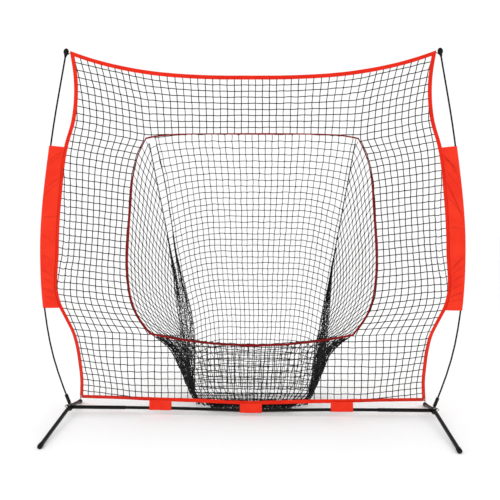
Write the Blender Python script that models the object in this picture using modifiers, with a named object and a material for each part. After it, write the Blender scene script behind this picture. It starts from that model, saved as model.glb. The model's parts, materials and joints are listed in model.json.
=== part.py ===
"""Pitching target net, built in metres with +Z up.

Two bowed poles stand in sockets at the ends of a steel crossbar and hold a square net upright. The net has
a piped target opening, and a deep pocket hangs behind it. The footprint's centre is the origin: +X runs
along the crossbar to the pitcher's right, and +Y points back, into the pocket.
"""
import bmesh
import bpy
import numpy as np
from math import cos, exp, log, pi, radians, sin
from mathutils import Vector

# ---- driving dimensions -------------------------------------------------------------------------
HUB_X = 1.070                 # half the distance between the two hubs
HUB_Z = 0.0495                # height of a hub's middle
BAR_Z = 0.0455                # height of the crossbar's axis at its ends
BAR_SAG = 0.0135              # how far the crossbar dips at its middle
SAG_FROM = 0.720              # the dip starts this far from the middle

END_TUBE_R = 0.011            # outer crossbar tube, leg tubes
BAR_TUBE_R = 0.0095           # inner crossbar tubes, which slide into the end tubes
TUBE_WALL = 0.0012
END_TUBE_FROM, END_TUBE_TO = 0.745, 1.0560
BAR_TUBE_TO = 0.900
SPIGOT_HALF = 0.060
BUTTON_X = 0.830

LEG_END = 0.588               # end of the front leg's tube, in front of the crossbar
FOOT_X = 1.059
PIVOT_Y = -0.026              # front leg's hinge, in front of the crossbar
REAR_LEG_Y = 0.240            # end of the rear leg tube, behind the crossbar
CORNER_X = 1.078              # the net's bottom corner
CORNER_Y = 0.275
CORNER_Z = 0.034
FOOT_R = 0.0135
FOOT_DOME = 0.0155            # a foot's dome beyond its tube's end
FOOT_AXIS_Z = 0.0125          # foot's middle above the ground, so its underside is cut flat

POLE_R = 0.005
SOCKET_R = 0.010
SOCKET_BORE_R = 0.0056
SOCKET_LENGTH = 0.056
SOCKET_LEAN = radians(21)
POLE_JOINTS = (0.80, 1.45)    # heights where the pole sections meet
TIP_X, TIP_Z = 1.072, 2.123   # middle of the ball on a pole's tip
TIP_BALL_R = 0.0154
TIP_BALL_STRETCH = 1.25       # the ball is longer than it is wide
TOP_CORNER = (1.037, 2.112)   # the net's upper corner, x and z

TAPE_HALF = 0.0115            # half the width of the webbing border
TAPE_THICK = 0.0024
NET_THICK = 0.0020
PIPING_R = 0.0045
GAP = 0.0004                  # between pieces that touch
NET_GAP = 0.0012              # between the net's edge and its border

SLEEVE_LOW, SLEEVE_HIGH = 0.637, 1.585
SLEEVE_WALL = 0.0012
STRAP_X = 0.535               # outer straps' middles
STRAP_WIDTH = 0.130
STRAP_WALL = 0.0015

POCKET_DEPTH = 0.500
POCKET_FLOOR_Z = 0.012
POCKET_FLOOR_FRONT = 0.200    # front edge of the pocket's floor, behind the net
OPENING_TOP = (0.613, 1.628)      # the opening's upper and lower corners, x and z
OPENING_LOW = (0.595, 0.4885)

NET_Y = (LEG_END + FOOT_DOME - POCKET_DEPTH - NET_THICK / 2) / 2      # the net's plane behind the origin

# Outlines given by a few stations: height, then distance from the middle.
POLE_LINE = [(0.070, 1.0763), (0.1205, 1.0957), (0.370, 1.1745), (0.600, 1.2135), (0.990, 1.2300),
             (1.610, 1.1650), (TIP_Z, TIP_X)]
SIDE_TAPE_LINE = [(0.034, 1.078), (0.171, 1.053), (0.276, 1.046), (0.390, 1.044), (0.490, 1.0565),
                  (0.571, 1.089), (0.660, 1.130), (0.987, 1.140), (1.300, 1.119), (1.587, 1.0775),
                  (1.730, 1.035), (1.895, 1.017), (1.990, 1.020), (2.112, 1.037)]
OPENING_SIDE_LINE = [(0.4885, 0.595), (0.590, 0.667), (0.688, 0.7055), (0.787, 0.7215), (0.894, 0.728),
                     (1.060, 0.721), (1.2375, 0.707), (1.411, 0.6895), (1.549, 0.653), (1.628, 0.613)]
POCKET_FRONT_LINE = [(0.012, 0.300), (0.070, 0.352), (0.265, 0.435), (0.395, 0.490), (0.4885, 0.595)]

SIDES = (("left", -1), ("right", 1))
ACROSS_STATIONS = [0.12 * i for i in range(-8, 9)]            # where the net and its border are divided
SLEEVE_STATIONS = [SLEEVE_LOW, 0.70, 0.80, 0.92, 1.05, 1.20, 1.35, 1.48, SLEEVE_HIGH]
SIDE_STATIONS = [0.10, 0.20, 0.30, 0.39, 0.45, 0.50, 0.55, 0.595, *SLEEVE_STATIONS, 1.68, 1.76, 1.86, 1.96, 2.04]


# ---- scene --------------------------------------------------------------------------------------
for old in list(bpy.data.objects):
    bpy.data.objects.remove(old, do_unlink=True)

PARTS = bpy.data.collections.new("pitching_target_net")
CUTTERS = bpy.data.collections.new("cutters")
for collection in (PARTS, CUTTERS):
    bpy.context.scene.collection.children.link(collection)


def material(name, colour, roughness, metallic=0.0):
    mat = bpy.data.materials.new(name)
    mat.use_nodes = True
    shader = mat.node_tree.nodes["Principled BSDF"]
    shader.inputs["Base Color"].default_value = (*colour, 1.0)
    shader.inputs["Roughness"].default_value = roughness
    shader.inputs["Metallic"].default_value = metallic
    mat.diffuse_color = (*colour, 1.0)
    return mat


BLACK_STEEL = material("black_powder_coat", (0.012, 0.012, 0.013), 0.38)
ZINC = material("zinc_plate", (0.62, 0.61, 0.58), 0.32, 1.0)
FIBREGLASS = material("black_fibreglass", (0.010, 0.010, 0.011), 0.30)
BLACK_PLASTIC = material("black_plastic", (0.009, 0.009, 0.010), 0.45)
RED_FABRIC = material("red_fabric", (0.90, 0.045, 0.018), 0.75)
RED_WEBBING = material("red_webbing", (0.78, 0.020, 0.006), 0.70)
PIPING_RED = material("dark_red_piping", (0.26, 0.002, 0.002), 0.65)
NET_BLACK = material("black_netting", (0.010, 0.010, 0.011), 0.80)
CORD_BLACK = material("black_cord", (0.012, 0.012, 0.012), 0.85)


def empty(name, location, parent=None):
    obj = bpy.data.objects.new(name, None)
    obj.location = location
    obj.parent = parent
    PARTS.objects.link(obj)
    return obj


BASE = empty("crossbar_line", (0, NET_Y, 0))


def add(name, data, mat, parent=BASE, location=(0, 0, 0)):
    obj = bpy.data.objects.new(name, data)
    data.materials.append(mat)
    obj.parent = parent
    obj.location = location
    PARTS.objects.link(obj)
    return obj


# ---- shape helpers ------------------------------------------------------------------------------
def solidify(obj, thickness, offset=0.0):
    wall = obj.modifiers.new("wall", "SOLIDIFY")
    wall.thickness = thickness
    wall.offset = offset


def tube(name, points, radius, mat, wall=None, detail=4, closed=False, **place):
    """A round rod along the points, or a hollow tube when it has a wall."""
    curve = bpy.data.curves.new(name, "CURVE")
    curve.dimensions = "3D"
    curve.bevel_depth = radius
    curve.bevel_resolution = detail
    curve.use_fill_caps = wall is None and not closed
    spline = curve.splines.new("POLY")
    spline.points.add(len(points) - 1)
    for point, place_at in zip(spline.points, points):
        point.co = (*place_at, 1.0)
    spline.use_cyclic_u = closed
    obj = add(name, curve, mat, **place)
    if wall:
        solidify(obj, wall, offset=-1.0)
    return obj


def as_mesh(obj):
    """Swap a curve object for the welded mesh that it makes, so that it can be cut."""
    bpy.context.view_layer.update()
    evaluated = obj.evaluated_get(bpy.context.evaluated_depsgraph_get())
    mesh = bpy.data.meshes.new_from_object(evaluated)
    bm = bmesh.new()
    bm.from_mesh(mesh)
    bmesh.ops.remove_doubles(bm, verts=bm.verts, dist=0.00001)
    bm.to_mesh(mesh)
    bm.free()
    name, parent, world = obj.name, obj.parent, obj.matrix_world.copy()
    bpy.data.objects.remove(obj, do_unlink=True)
    solid = bpy.data.objects.new(name, mesh)
    PARTS.objects.link(solid)
    solid.parent = parent
    solid.matrix_world = world
    return solid


def turned(name, profile, mat, direction=(0, 0, 1), steps=14, **place):
    """A turned piece: the profile is (radius, height) pairs, from its top down its outer side."""
    mesh = bpy.data.meshes.new(name)
    edges = [(i, i + 1) for i in range(len(profile) - 1)]
    mesh.from_pydata([(r, 0, h) for r, h in profile], edges, [])
    obj = add(name, mesh, mat, **place)
    obj.rotation_euler = Vector(direction).to_track_quat("Z", "Y").to_euler()
    screw = obj.modifiers.new("turn", "SCREW")
    screw.steps = steps
    screw.render_steps = steps
    screw.use_merge_vertices = True
    screw.merge_threshold = 0.00001
    return obj


def cutter(name, bm, location, direction=(0, 0, 1)):
    mesh = bpy.data.meshes.new(name)
    bm.to_mesh(mesh)
    bm.free()
    obj = bpy.data.objects.new(name, mesh)
    obj.location = location
    obj.rotation_euler = Vector(direction).to_track_quat("Z", "Y").to_euler()
    obj.hide_render = True
    obj.display_type = "WIRE"
    CUTTERS.objects.link(obj)
    return obj


def box_cutter(name, low, high):
    """A cutting box between two corners, given from the crossbar line."""
    low, high = Vector(low), Vector(high)
    bm = bmesh.new()
    bmesh.ops.create_cube(bm, size=1.0)
    bmesh.ops.scale(bm, vec=high - low, verts=bm.verts)
    return cutter(name, bm, (low + high) / 2 + BASE.location)


def drill(name, middle, direction, radius, depth):
    bm = bmesh.new()
    bmesh.ops.create_cone(bm, cap_ends=True, segments=12, radius1=radius, radius2=radius, depth=depth)
    return cutter(name, bm, Vector(middle) + BASE.location, direction)


def cut(obj, *tools):
    for tool in tools:
        boolean = obj.modifiers.new(tool.name, "BOOLEAN")
        boolean.operation = "DIFFERENCE"
        boolean.object = tool


def grid_faces(bm, rows):
    """Quads between rows of points. Rows have the same number of points."""
    made = [[bm.verts.new(point) for point in row] for row in rows]
    for upper, lower in zip(made, made[1:]):
        for i in range(len(upper) - 1):
            bm.faces.new((upper[i], upper[i + 1], lower[i + 1], lower[i]))


def sheet(name, panels, thickness, mat):
    """A thin sheet made of panels, each a grid of rows of points, welded along shared edges."""
    bm = bmesh.new()
    for rows in panels:
        grid_faces(bm, rows)
    bmesh.ops.remove_doubles(bm, verts=bm.verts, dist=0.0001)
    bmesh.ops.recalc_face_normals(bm, faces=bm.faces)
    mesh = bpy.data.meshes.new(name)
    bm.to_mesh(mesh)
    bm.free()
    obj = add(name, mesh, mat)
    solidify(obj, thickness)
    return obj


# ---- lines of the object ------------------------------------------------------------------------
def through(stations, at):
    """A smooth curve through the stations, read at one value."""
    xs = np.array([s[0] for s in stations])
    ys = np.array([s[1] for s in stations])
    slopes = np.gradient(ys, xs)
    at = min(max(at, xs[0]), xs[-1])
    i = min(int(np.searchsorted(xs, at, side="right")) - 1, len(xs) - 2)
    width = xs[i + 1] - xs[i]
    t = (at - xs[i]) / width
    return float((2 * t**3 - 3 * t**2 + 1) * ys[i] + (t**3 - 2 * t**2 + t) * width * slopes[i]
                 + (3 * t**2 - 2 * t**3) * ys[i + 1] + (t**3 - t**2) * width * slopes[i + 1])


def spread(start, end, count):
    return [start + (end - start) * i / (count - 1) for i in range(count)]


def bar_height(x):
    """Height of the crossbar's axis, which dips a little between its end tubes."""
    inboard = max(0.0, 1 - abs(x) / SAG_FROM)
    return BAR_Z - BAR_SAG * inboard**2


def top_tape_height(x):
    return 1.975 + 0.140 * (abs(x) / 1.045) ** 2.8


def bottom_tape_height(x):
    """The lower border: it dips at the middle strap and runs down to the rear legs' ends."""
    x = abs(x)
    if x < 0.6:
        return 0.0965 - 0.0165 * (1 - x / 0.6) ** 1.6
    return 0.0965 - (0.0965 - CORNER_Z) * ((x - 0.6) / (CORNER_X - 0.6)) ** 1.15


FOLD_START = Vector((0.600, 0.0965))      # the net's corner triangle folds back along this line
FOLD_DIRECTION = (Vector((1.125, 0.600)) - FOLD_START).normalized()
FOLD_SOFTNESS = 0.020


def past_fold(x, z):
    offset = Vector((abs(x), z)) - FOLD_START
    return offset.x * FOLD_DIRECTION.y - offset.y * FOLD_DIRECTION.x


def set_back(x, z):
    """How far the front net stands behind its plane: its bottom corners are tied to the rear legs."""
    reach = CORNER_Y / past_fold(CORNER_X, CORNER_Z)
    return reach * FOLD_SOFTNESS * log(1 + exp(past_fold(x, z) / FOLD_SOFTNESS))


def on_net(x, z):
    return (x, set_back(x, z), z)


def opening_top(x):
    return 1.654 - 0.026 * (abs(x) / OPENING_TOP[0]) ** 6


def opening_bottom(x):
    return 0.423 + 0.0655 * (abs(x) / OPENING_LOW[0]) ** 2


def opening_outline(across, down):
    """The opening's outline as (x, z), from the top left corner round to the right."""
    top = [(x, opening_top(x)) for x in spread(-OPENING_TOP[0], OPENING_TOP[0], across)]
    heights = spread(OPENING_TOP[1], OPENING_LOW[1], down)
    right = [(through(OPENING_SIDE_LINE, z), z) for z in heights[1:]]
    bottom = [(x, opening_bottom(x)) for x in spread(OPENING_LOW[0], -OPENING_LOW[0], across)[1:]]
    left = [(-x, z) for x, z in reversed(right[:-1])]
    return top + right + bottom + left


# ---- base frame ---------------------------------------------------------------------------------
def crossbar():
    """Two inner tubes that meet on a spigot, and an end tube over each."""
    for side, s in SIDES:
        xs = spread(0.0006, SAG_FROM, 6) + [BAR_TUBE_TO]
        inner = as_mesh(tube(f"crossbar_tube_{side}", [(s * x, 0, bar_height(x)) for x in xs],
                             BAR_TUBE_R, BLACK_STEEL, wall=TUBE_WALL))
        outer = as_mesh(tube(f"end_tube_{side}", [(s * END_TUBE_FROM, 0, BAR_Z), (s * END_TUBE_TO, 0, BAR_Z)],
                             END_TUBE_R, BLACK_STEEL, wall=TUBE_WALL))
        hole = drill(f"button_hole_{side}", (s * BUTTON_X, 0, BAR_Z - 0.010), (0, 0, 1), 0.0039, 0.012)
        cut(inner, hole)
        cut(outer, hole)
    tube("crossbar_spigot", [(x, 0, bar_height(x) + 0.0001) for x in (-SPIGOT_HALF, 0, SPIGOT_HALF)],
         BAR_TUBE_R - TUBE_WALL - 0.0006, ZINC, wall=TUBE_WALL)


def snap_button(side, s):
    """A button that pops out under the crossbar and locks an end tube, with its V spring inside."""
    axis = empty(f"button_axis_{side}", (s * BUTTON_X, 0, BAR_Z), BASE)
    profile = [(0, -0.0052), (0.0045, -0.0052), (0.0045, -0.0064), (0.0035, -0.0064),
               (0.0035, -0.0125), (0.0024, -0.0137), (0, -0.0142)]
    turned(f"bar_button_{side}", profile, ZINC, parent=axis, steps=12)
    leaf = [(0.004, -0.0046), (-0.010, -0.0040), (-0.030, 0.0005), (-0.036, 0.0040),
            (-0.030, 0.0066), (-0.010, 0.0068), (0.004, 0.0068)]
    rows = [[(s * (BUTTON_X + x), y, BAR_Z + z) for x, z in leaf] for y in (-0.0025, 0.0025)]
    sheet(f"bar_spring_{side}", [rows], 0.0006, ZINC)


def hub(side, s):
    """The bracket at a crossbar end, with its pole socket and its peg loop."""
    low, high = (HUB_X - 0.0135, -0.046, HUB_Z - 0.0145), (HUB_X + 0.0135, 0.0130, HUB_Z + 0.0145)
    clear = 0.0117                          # half the gap between the bracket's ears
    bm = bmesh.new()
    bmesh.ops.create_cube(bm, size=1.0)
    size = Vector(high) - Vector(low)
    middle = (Vector(high) + Vector(low)) / 2
    bmesh.ops.scale(bm, vec=size, verts=bm.verts)
    upright = [edge for edge in bm.edges if abs(edge.verts[0].co.z - edge.verts[1].co.z) > 0.01
               and edge.verts[0].co.y < 0]
    bmesh.ops.bevel(bm, geom=upright, offset=0.009, segments=4, affect="EDGES", profile=0.5)
    mesh = bpy.data.meshes.new("hub_bracket")
    bm.to_mesh(mesh)
    bm.free()
    bracket = add(f"hub_bracket_{side}", mesh, BLACK_STEEL, location=(s * middle.x, middle.y, middle.z))
    inside = box_cutter(f"hub_space_{side}",
                        (s * HUB_X - 0.0105 - 0.005 * (s < 0), -0.060, HUB_Z - clear),
                        (s * HUB_X + 0.0105 + 0.005 * (s > 0), 0.0100, HUB_Z + clear))
    front = box_cutter(f"hub_front_{side}", (s * HUB_X - 0.020, -0.060, HUB_Z - clear),
                       (s * HUB_X + 0.020, -0.0125, HUB_Z + clear))
    hole = drill(f"pivot_hole_{side}", (s * HUB_X, PIVOT_Y, HUB_Z), (0, 0, 1), 0.0034, 0.080)
    cut(bracket, inside, front, hole)

    lean = Vector((s * sin(SOCKET_LEAN), 0, cos(SOCKET_LEAN)))
    foot = Vector((s * 1.0755, 0, 0.0682))
    tube(f"pole_socket_{side}", [foot, foot + lean * SOCKET_LENGTH], SOCKET_R, BLACK_STEEL,
         wall=SOCKET_R - SOCKET_BORE_R)
    eye = [(1.0866, 0.0405), (1.0866, 0.0585), (1.0905, 0.0590), (1.1025, 0.0520), (1.1025, 0.0470),
           (1.0905, 0.0400)]
    tube(f"peg_loop_{side}", [(s * x, 0, z) for x, z in eye], 0.0021, BLACK_STEEL, detail=2, closed=True)


def pivot(side, s):
    """The bolt that a front leg folds on, and its nut."""
    top = HUB_Z + 0.0145 + GAP
    low = HUB_Z - 0.0145 - GAP
    head = [(0, 0.0045), (0.0030, 0.0042), (0.0055, 0.0028), (0.0068, 0.0), (0.0030, 0.0),
            (0.0030, low - top - 0.0065), (0, low - top - 0.0065)]
    turned(f"leg_pivot_bolt_{side}", head, ZINC, location=(s * HUB_X, PIVOT_Y, top), steps=12)
    bm = bmesh.new()
    bmesh.ops.create_cone(bm, cap_ends=True, segments=6, radius1=0.0058, radius2=0.0058, depth=0.0045)
    mesh = bpy.data.meshes.new("pivot_nut")
    bm.to_mesh(mesh)
    bm.free()
    nut = add(f"leg_pivot_nut_{side}", mesh, ZINC, location=(s * HUB_X, PIVOT_Y, low - 0.00225))
    cut(nut, drill(f"nut_hole_{side}", (s * HUB_X, PIVOT_Y, low), (0, 0, 1), 0.0033, 0.020))


def foot(name, end, direction, parent):
    """A domed plastic cap over a tube's end, with a flat underside. The end is from the crossbar line."""
    bore = END_TUBE_R + 0.0004
    inner_end = 0.0010
    rim = -0.020
    arc = [(FOOT_R * cos(a), FOOT_DOME - 0.0095 * (1 - sin(a))) for a in spread(pi / 2, 0, 6)]
    profile = [(0, arc[0][1])] + arc[1:] + [(FOOT_R, rim), (bore, rim), (bore, inner_end), (0, inner_end)]
    place = Vector(end) - (Vector(parent.location) if parent is not BASE else Vector())
    cap = turned(name, profile, BLACK_PLASTIC, direction=direction, parent=parent, location=place, steps=16)
    x, y, _ = end
    ground = box_cutter(f"{name}_ground", (x - 0.05, y - 0.05, -0.04), (x + 0.05, y + 0.05, 0.0))
    cut(cap, ground)


def front_leg(side, s):
    """A front leg folds on its bolt, inward and flat beside the crossbar."""
    axis = empty(f"leg_axis_{side}", (s * HUB_X, PIVOT_Y, HUB_Z), BASE)
    end = Vector((s * FOOT_X, -LEG_END, FOOT_AXIS_Z))
    bend = Vector((s * HUB_X, -0.066, HUB_Z))
    run = (end - bend).normalized()
    points = [(0, 0.0105, 0), bend + Vector((0, 0.012, 0)) - axis.location, bend + run * 0.012 - axis.location,
              end - axis.location]
    leg = as_mesh(tube(f"front_leg_{side}", points, END_TUBE_R, BLACK_STEEL, wall=TUBE_WALL, parent=axis))
    cut(leg, drill(f"leg_hole_{side}", (s * HUB_X, PIVOT_Y, HUB_Z), (0, 0, 1), 0.0033, 0.060))
    foot(f"front_foot_{side}", end, run, axis)


def rear_leg(side, s):
    """A rear leg is fixed to the hub. Its hook holds the net's bottom corner."""
    start = Vector((s * HUB_X, 0.0153, HUB_Z))
    end = Vector((s * CORNER_X, REAR_LEG_Y, FOOT_AXIS_Z))
    tube(f"rear_leg_{side}", [start, end], END_TUBE_R, BLACK_STEEL, wall=TUBE_WALL)
    foot(f"rear_foot_{side}", end, end - start, BASE)
    corner = Vector((s * CORNER_X, CORNER_Y, CORNER_Z))
    through_eyelet = net_normal(s)
    root = Vector((s * CORNER_X, REAR_LEG_Y + 0.0163, FOOT_AXIS_Z + 0.0015))
    turn = corner - through_eyelet * 0.0145 - Vector((0, 0, 0.004))
    route = [root, root + Vector((0, 0.003, 0.001)), turn, turn + Vector((0, 0.0008, 0.0035)),
             corner - through_eyelet * 0.0100, corner - through_eyelet * 0.004, corner + through_eyelet * 0.009]
    tube(f"net_hook_{side}", route, 0.0021, BLACK_STEEL, detail=2)


# ---- poles --------------------------------------------------------------------------------------
def pole_point(s, z):
    return Vector((s * through(POLE_LINE, z), 0, z))


def pole(side, s):
    """Three rods joined by two ferrules, with a ball on the tip."""
    tip_axis = (pole_point(s, TIP_Z) - pole_point(s, TIP_Z - 0.05)).normalized()
    bounds = [POLE_LINE[0][0], *POLE_JOINTS, TIP_Z - 0.004]
    for i, part in enumerate(("lower", "middle", "upper")):
        heights = spread(bounds[i] + 0.0003, bounds[i + 1] - 0.0003, 9)
        tube(f"pole_{part}_{side}", [pole_point(s, z) for z in heights], POLE_R, FIBREGLASS, detail=2)
    for z, joint in zip(POLE_JOINTS, ("lower", "upper")):
        tube(f"ferrule_{joint}_{side}", [pole_point(s, z + dz) for dz in (-0.030, 0, 0.030)], 0.0071, ZINC,
             wall=0.0012, detail=3)
    tall = TIP_BALL_R * TIP_BALL_STRETCH
    ball = [(TIP_BALL_R * cos(a), tall * sin(a)) for a in spread(pi / 2, radians(-52), 9)]
    profile = [(0, ball[0][1])] + ball[1:] + [(0.0074, -0.022), (0.0068, -0.030), (POLE_R + 0.0004, -0.030),
                                              (POLE_R + 0.0004, -0.002), (0, -0.002)]
    turned(f"tip_cap_{side}", profile, BLACK_PLASTIC, direction=tip_axis, location=(s * TIP_X, 0, TIP_Z),
           steps=14)
    return tip_axis


def corner_loop(side, s, tip_axis):
    """The cord loop that ties a top corner of the net to the pole's cap."""
    neck = Vector((s * TIP_X, 0, TIP_Z)) - tip_axis * 0.0225
    corner_x = TOP_CORNER[0] + TAPE_HALF + 0.0022
    corner = Vector((s * corner_x, 0, top_tape_height(corner_x)))
    across = corner - neck
    inboard = (across - tip_axis * across.dot(tip_axis)).normalized()
    reach = 0.0098
    points = [neck - inboard * reach * cos(a) + Vector((0, reach * sin(a), 0))
              for a in spread(radians(-110), radians(110), 9)]
    points += [corner + Vector((0, 0.002, 0)), corner + Vector((0, -0.002, 0))]
    tube(f"corner_loop_{side}", points, 0.0014, CORD_BLACK, detail=1, closed=True)


def pole_sleeve(side, s):
    """The fabric sleeve that wraps the pole and meets the border beside the net."""
    rows = []
    for z in SLEEVE_STATIONS:
        x_pole = through(POLE_LINE, z)
        x_in = through(SIDE_TAPE_LINE, z) + TAPE_HALF + 2 * GAP
        round_pole = [(x_pole + 0.0088 * cos(a), 0.0088 * sin(a)) for a in spread(radians(-100), radians(100), 8)]
        section = [(x_in, 0.0018)] + round_pole[::-1] + [(x_in, -0.0018), (x_in, 0.0018)]
        rows.append([(s * x, y, z) for x, y in section])
    sheet(f"pole_sleeve_{side}", [rows], SLEEVE_WALL, RED_FABRIC)


# ---- net ----------------------------------------------------------------------------------------
def side_rail(offset, gap):
    """One edge of the right side border as (x, z), from the bottom border up to the top border."""
    low, high = CORNER_Z, TOP_CORNER[1]
    for _ in range(20):
        high = top_tape_height(through(SIDE_TAPE_LINE, high) + offset) - TAPE_HALF - gap
        low = bottom_tape_height(through(SIDE_TAPE_LINE, low) + offset) + TAPE_HALF + gap
    heights = [low, *SIDE_STATIONS, high]
    return [(through(SIDE_TAPE_LINE, z) + offset, z) for z in heights]


def border_tapes():
    """Webbing round the net: the top and bottom run the full width, and the sides fit between them."""
    for name, height, end in (("top", top_tape_height, TOP_CORNER[0] + TAPE_HALF),
                              ("bottom", bottom_tape_height, CORNER_X + TAPE_HALF)):
        xs = [-end, *ACROSS_STATIONS, end]
        rows = [[on_net(x, height(x) + h) for x in xs] for h in (TAPE_HALF, -TAPE_HALF)]
        tape = sheet(f"border_tape_{name}", [rows], TAPE_THICK, RED_WEBBING)
        if name == "bottom":
            for side, s in SIDES:
                cut(tape, drill(f"eyelet_hole_{side}", (s * CORNER_X, CORNER_Y, CORNER_Z), net_normal(s), 0.0060,
                                0.030))
    for side, s in SIDES:
        rails = [[on_net(s * x, z) for x, z in side_rail(offset, 2 * GAP)] for offset in (-TAPE_HALF, TAPE_HALF)]
        sheet(f"border_tape_{side}", [rails], TAPE_THICK, RED_WEBBING)


def net_normal(s):
    """Unit normal of the folded-back corner triangle, pointing back."""
    reach = CORNER_Y / past_fold(CORNER_X, CORNER_Z)
    return Vector((-s * reach * FOLD_DIRECTION.y, 1.0, reach * FOLD_DIRECTION.x)).normalized()


def eyelet(side, s):
    """The metal eyelet in a bottom corner, which the rear leg's hook passes through."""
    profile = [(0.0041, 0.0013), (0.0055, 0.0013), (0.0055, -0.0016), (0.0078, -0.0016), (0.0078, -0.0026),
               (0.0041, -0.0026), (0.0041, 0.0013)]
    turned(f"corner_eyelet_{side}", profile, ZINC, direction=net_normal(s),
           location=(s * CORNER_X, CORNER_Y, CORNER_Z), steps=14)


def front_net():
    """The flat net between the border and the piped opening."""
    right = side_rail(-TAPE_HALF - NET_GAP, NET_GAP)[::-1]
    top_x, low_x = right[0][0], right[-1][0]
    inset = TAPE_HALF + NET_GAP
    top = [(x, top_tape_height(x) - inset) for x in (-top_x, *ACROSS_STATIONS)]
    bottom = [(x, bottom_tape_height(x) + inset) for x in reversed(ACROSS_STATIONS)]
    left = [(-x, z) for x, z in reversed(right[1:])]
    outer = top + right + bottom + left + top[:1]
    middle = Vector((0, 1.04))
    inner = []
    outline = opening_outline(len(top) + 1, len(right))
    for x, z in outline + outline[:1]:
        outward = (Vector((x, z)) - middle).normalized() * 0.0075
        inner.append((x + outward.x, z + outward.y))
    rows = []
    for share in spread(0, 1, 5):
        rows.append([on_net(a[0] + (b[0] - a[0]) * share, a[1] + (b[1] - a[1]) * share)
                     for a, b in zip(outer, inner)])
    sheet("front_net", [rows], NET_THICK, NET_BLACK)


def piping():
    outline = opening_outline(13, 13)
    tube("opening_piping", [(x, 0, z) for x, z in outline], PIPING_R, PIPING_RED, detail=2, closed=True)


def pocket_back(z):
    """Half width and depth of the pocket's back wall at a height."""
    half = 0.388 + 0.212 * (z / OPENING_TOP[1]) ** 0.9
    down = min(1.0, max(0.0, (1.640 - z) / 1.340))
    tuck = max(0.0, (0.10 - z) / 0.10)
    return half, POCKET_DEPTH * sin(down * pi / 2) ** 1.1 - 0.03 * tuck**2


def pocket_front(z):
    """Half width and depth of the pocket's front edge: the opening's side, and below it the front wall."""
    rim = PIPING_R + NET_THICK / 2 + 2 * GAP
    if z >= OPENING_LOW[1]:
        return through(OPENING_SIDE_LINE, z), rim
    return through(POCKET_FRONT_LINE, z), rim + (POCKET_FLOOR_FRONT - rim) * (1 - z / OPENING_LOW[1])


def pocket_net():
    """The pocket: a back wall that slopes away from the opening's top, two side walls, the front wall that
    hangs from the opening's lower edge, and the floor."""
    side_steps, back_steps = 4, 10
    upper = spread(OPENING_TOP[1], OPENING_LOW[1], 10)
    lower = spread(OPENING_LOW[1], POCKET_FLOOR_Z, 6)
    rim = pocket_front(1.0)[1]
    back, left, right = [], [], []
    for z in upper + lower[1:]:
        xf, yf = pocket_front(z)
        xb, yb = pocket_back(z)
        if z == upper[0]:
            back.append([(x, rim, opening_top(x)) for x in spread(-xf, xf, back_steps + 1)])
            xb, yb = xf, rim
        else:
            back.append([(x, yb, z) for x in spread(-xb, xb, back_steps + 1)])
        wall = list(zip(spread(xf, xb, side_steps + 1), spread(yf, yb, side_steps + 1)))
        right.append([(x, y, z) for x, y in wall])
        left.append([(-x, y, z) for x, y in wall])
    front = [[(x, rim, opening_bottom(x)) for x in spread(-OPENING_LOW[0], OPENING_LOW[0], back_steps + 1)]]
    for z in lower[1:]:
        xf, yf = pocket_front(z)
        front.append([(x, yf, z) for x in spread(-xf, xf, back_steps + 1)])
    floor = []
    for near, far in zip(left[-1], right[-1]):
        floor.append([(x, near[1], POCKET_FLOOR_Z) for x in spread(near[0], far[0], back_steps + 1)])
    sheet("pocket_net", [back, left, right, front, floor], NET_THICK, NET_BLACK)


def crossbar_strap(name, x_mid):
    """A fabric strap sewn to the lower border and wrapped round the crossbar."""
    half = STRAP_WIDTH / 2
    edges = (x_mid - half, x_mid + half)
    radius = BAR_TUBE_R + STRAP_WALL / 2 + 0.0020
    rows = []
    for x in edges:
        z_bar = min(bar_height(e) for e in edges) / 2 + bar_height(x_mid) / 2
        top = min(bottom_tape_height(e) for e in (*edges, x_mid)) - TAPE_HALF - STRAP_WALL
        wrap = [(radius * cos(a), z_bar + radius * sin(a)) for a in spread(radians(-195), radians(15), 12)]
        section = [(-0.0012, top)] + wrap + [(0.0012, top), (-0.0012, top)]
        rows.append([(x, y, z) for y, z in section])
    sheet(name, [rows], STRAP_WALL, RED_FABRIC)


# ---- the whole net ------------------------------------------------------------------------------
crossbar()
for side_name, sign in SIDES:
    snap_button(side_name, sign)
    hub(side_name, sign)
    pivot(side_name, sign)
    front_leg(side_name, sign)
    rear_leg(side_name, sign)
    pole_tip_axis = pole(side_name, sign)
    corner_loop(side_name, sign, pole_tip_axis)
    pole_sleeve(side_name, sign)
    eyelet(side_name, sign)
border_tapes()
front_net()
piping()
pocket_net()
for strap, x in (("left", -STRAP_X), ("centre", 0.0), ("right", STRAP_X)):
    crossbar_strap(f"crossbar_strap_{strap}", x)
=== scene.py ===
"""Pitching target net: knotted netting, webbing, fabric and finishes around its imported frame.

Everything is in metres, +Z up. +X runs along the crossbar and +Y points back, into the pocket.
"""
import json
import math
import random
from bisect import bisect_right

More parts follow.
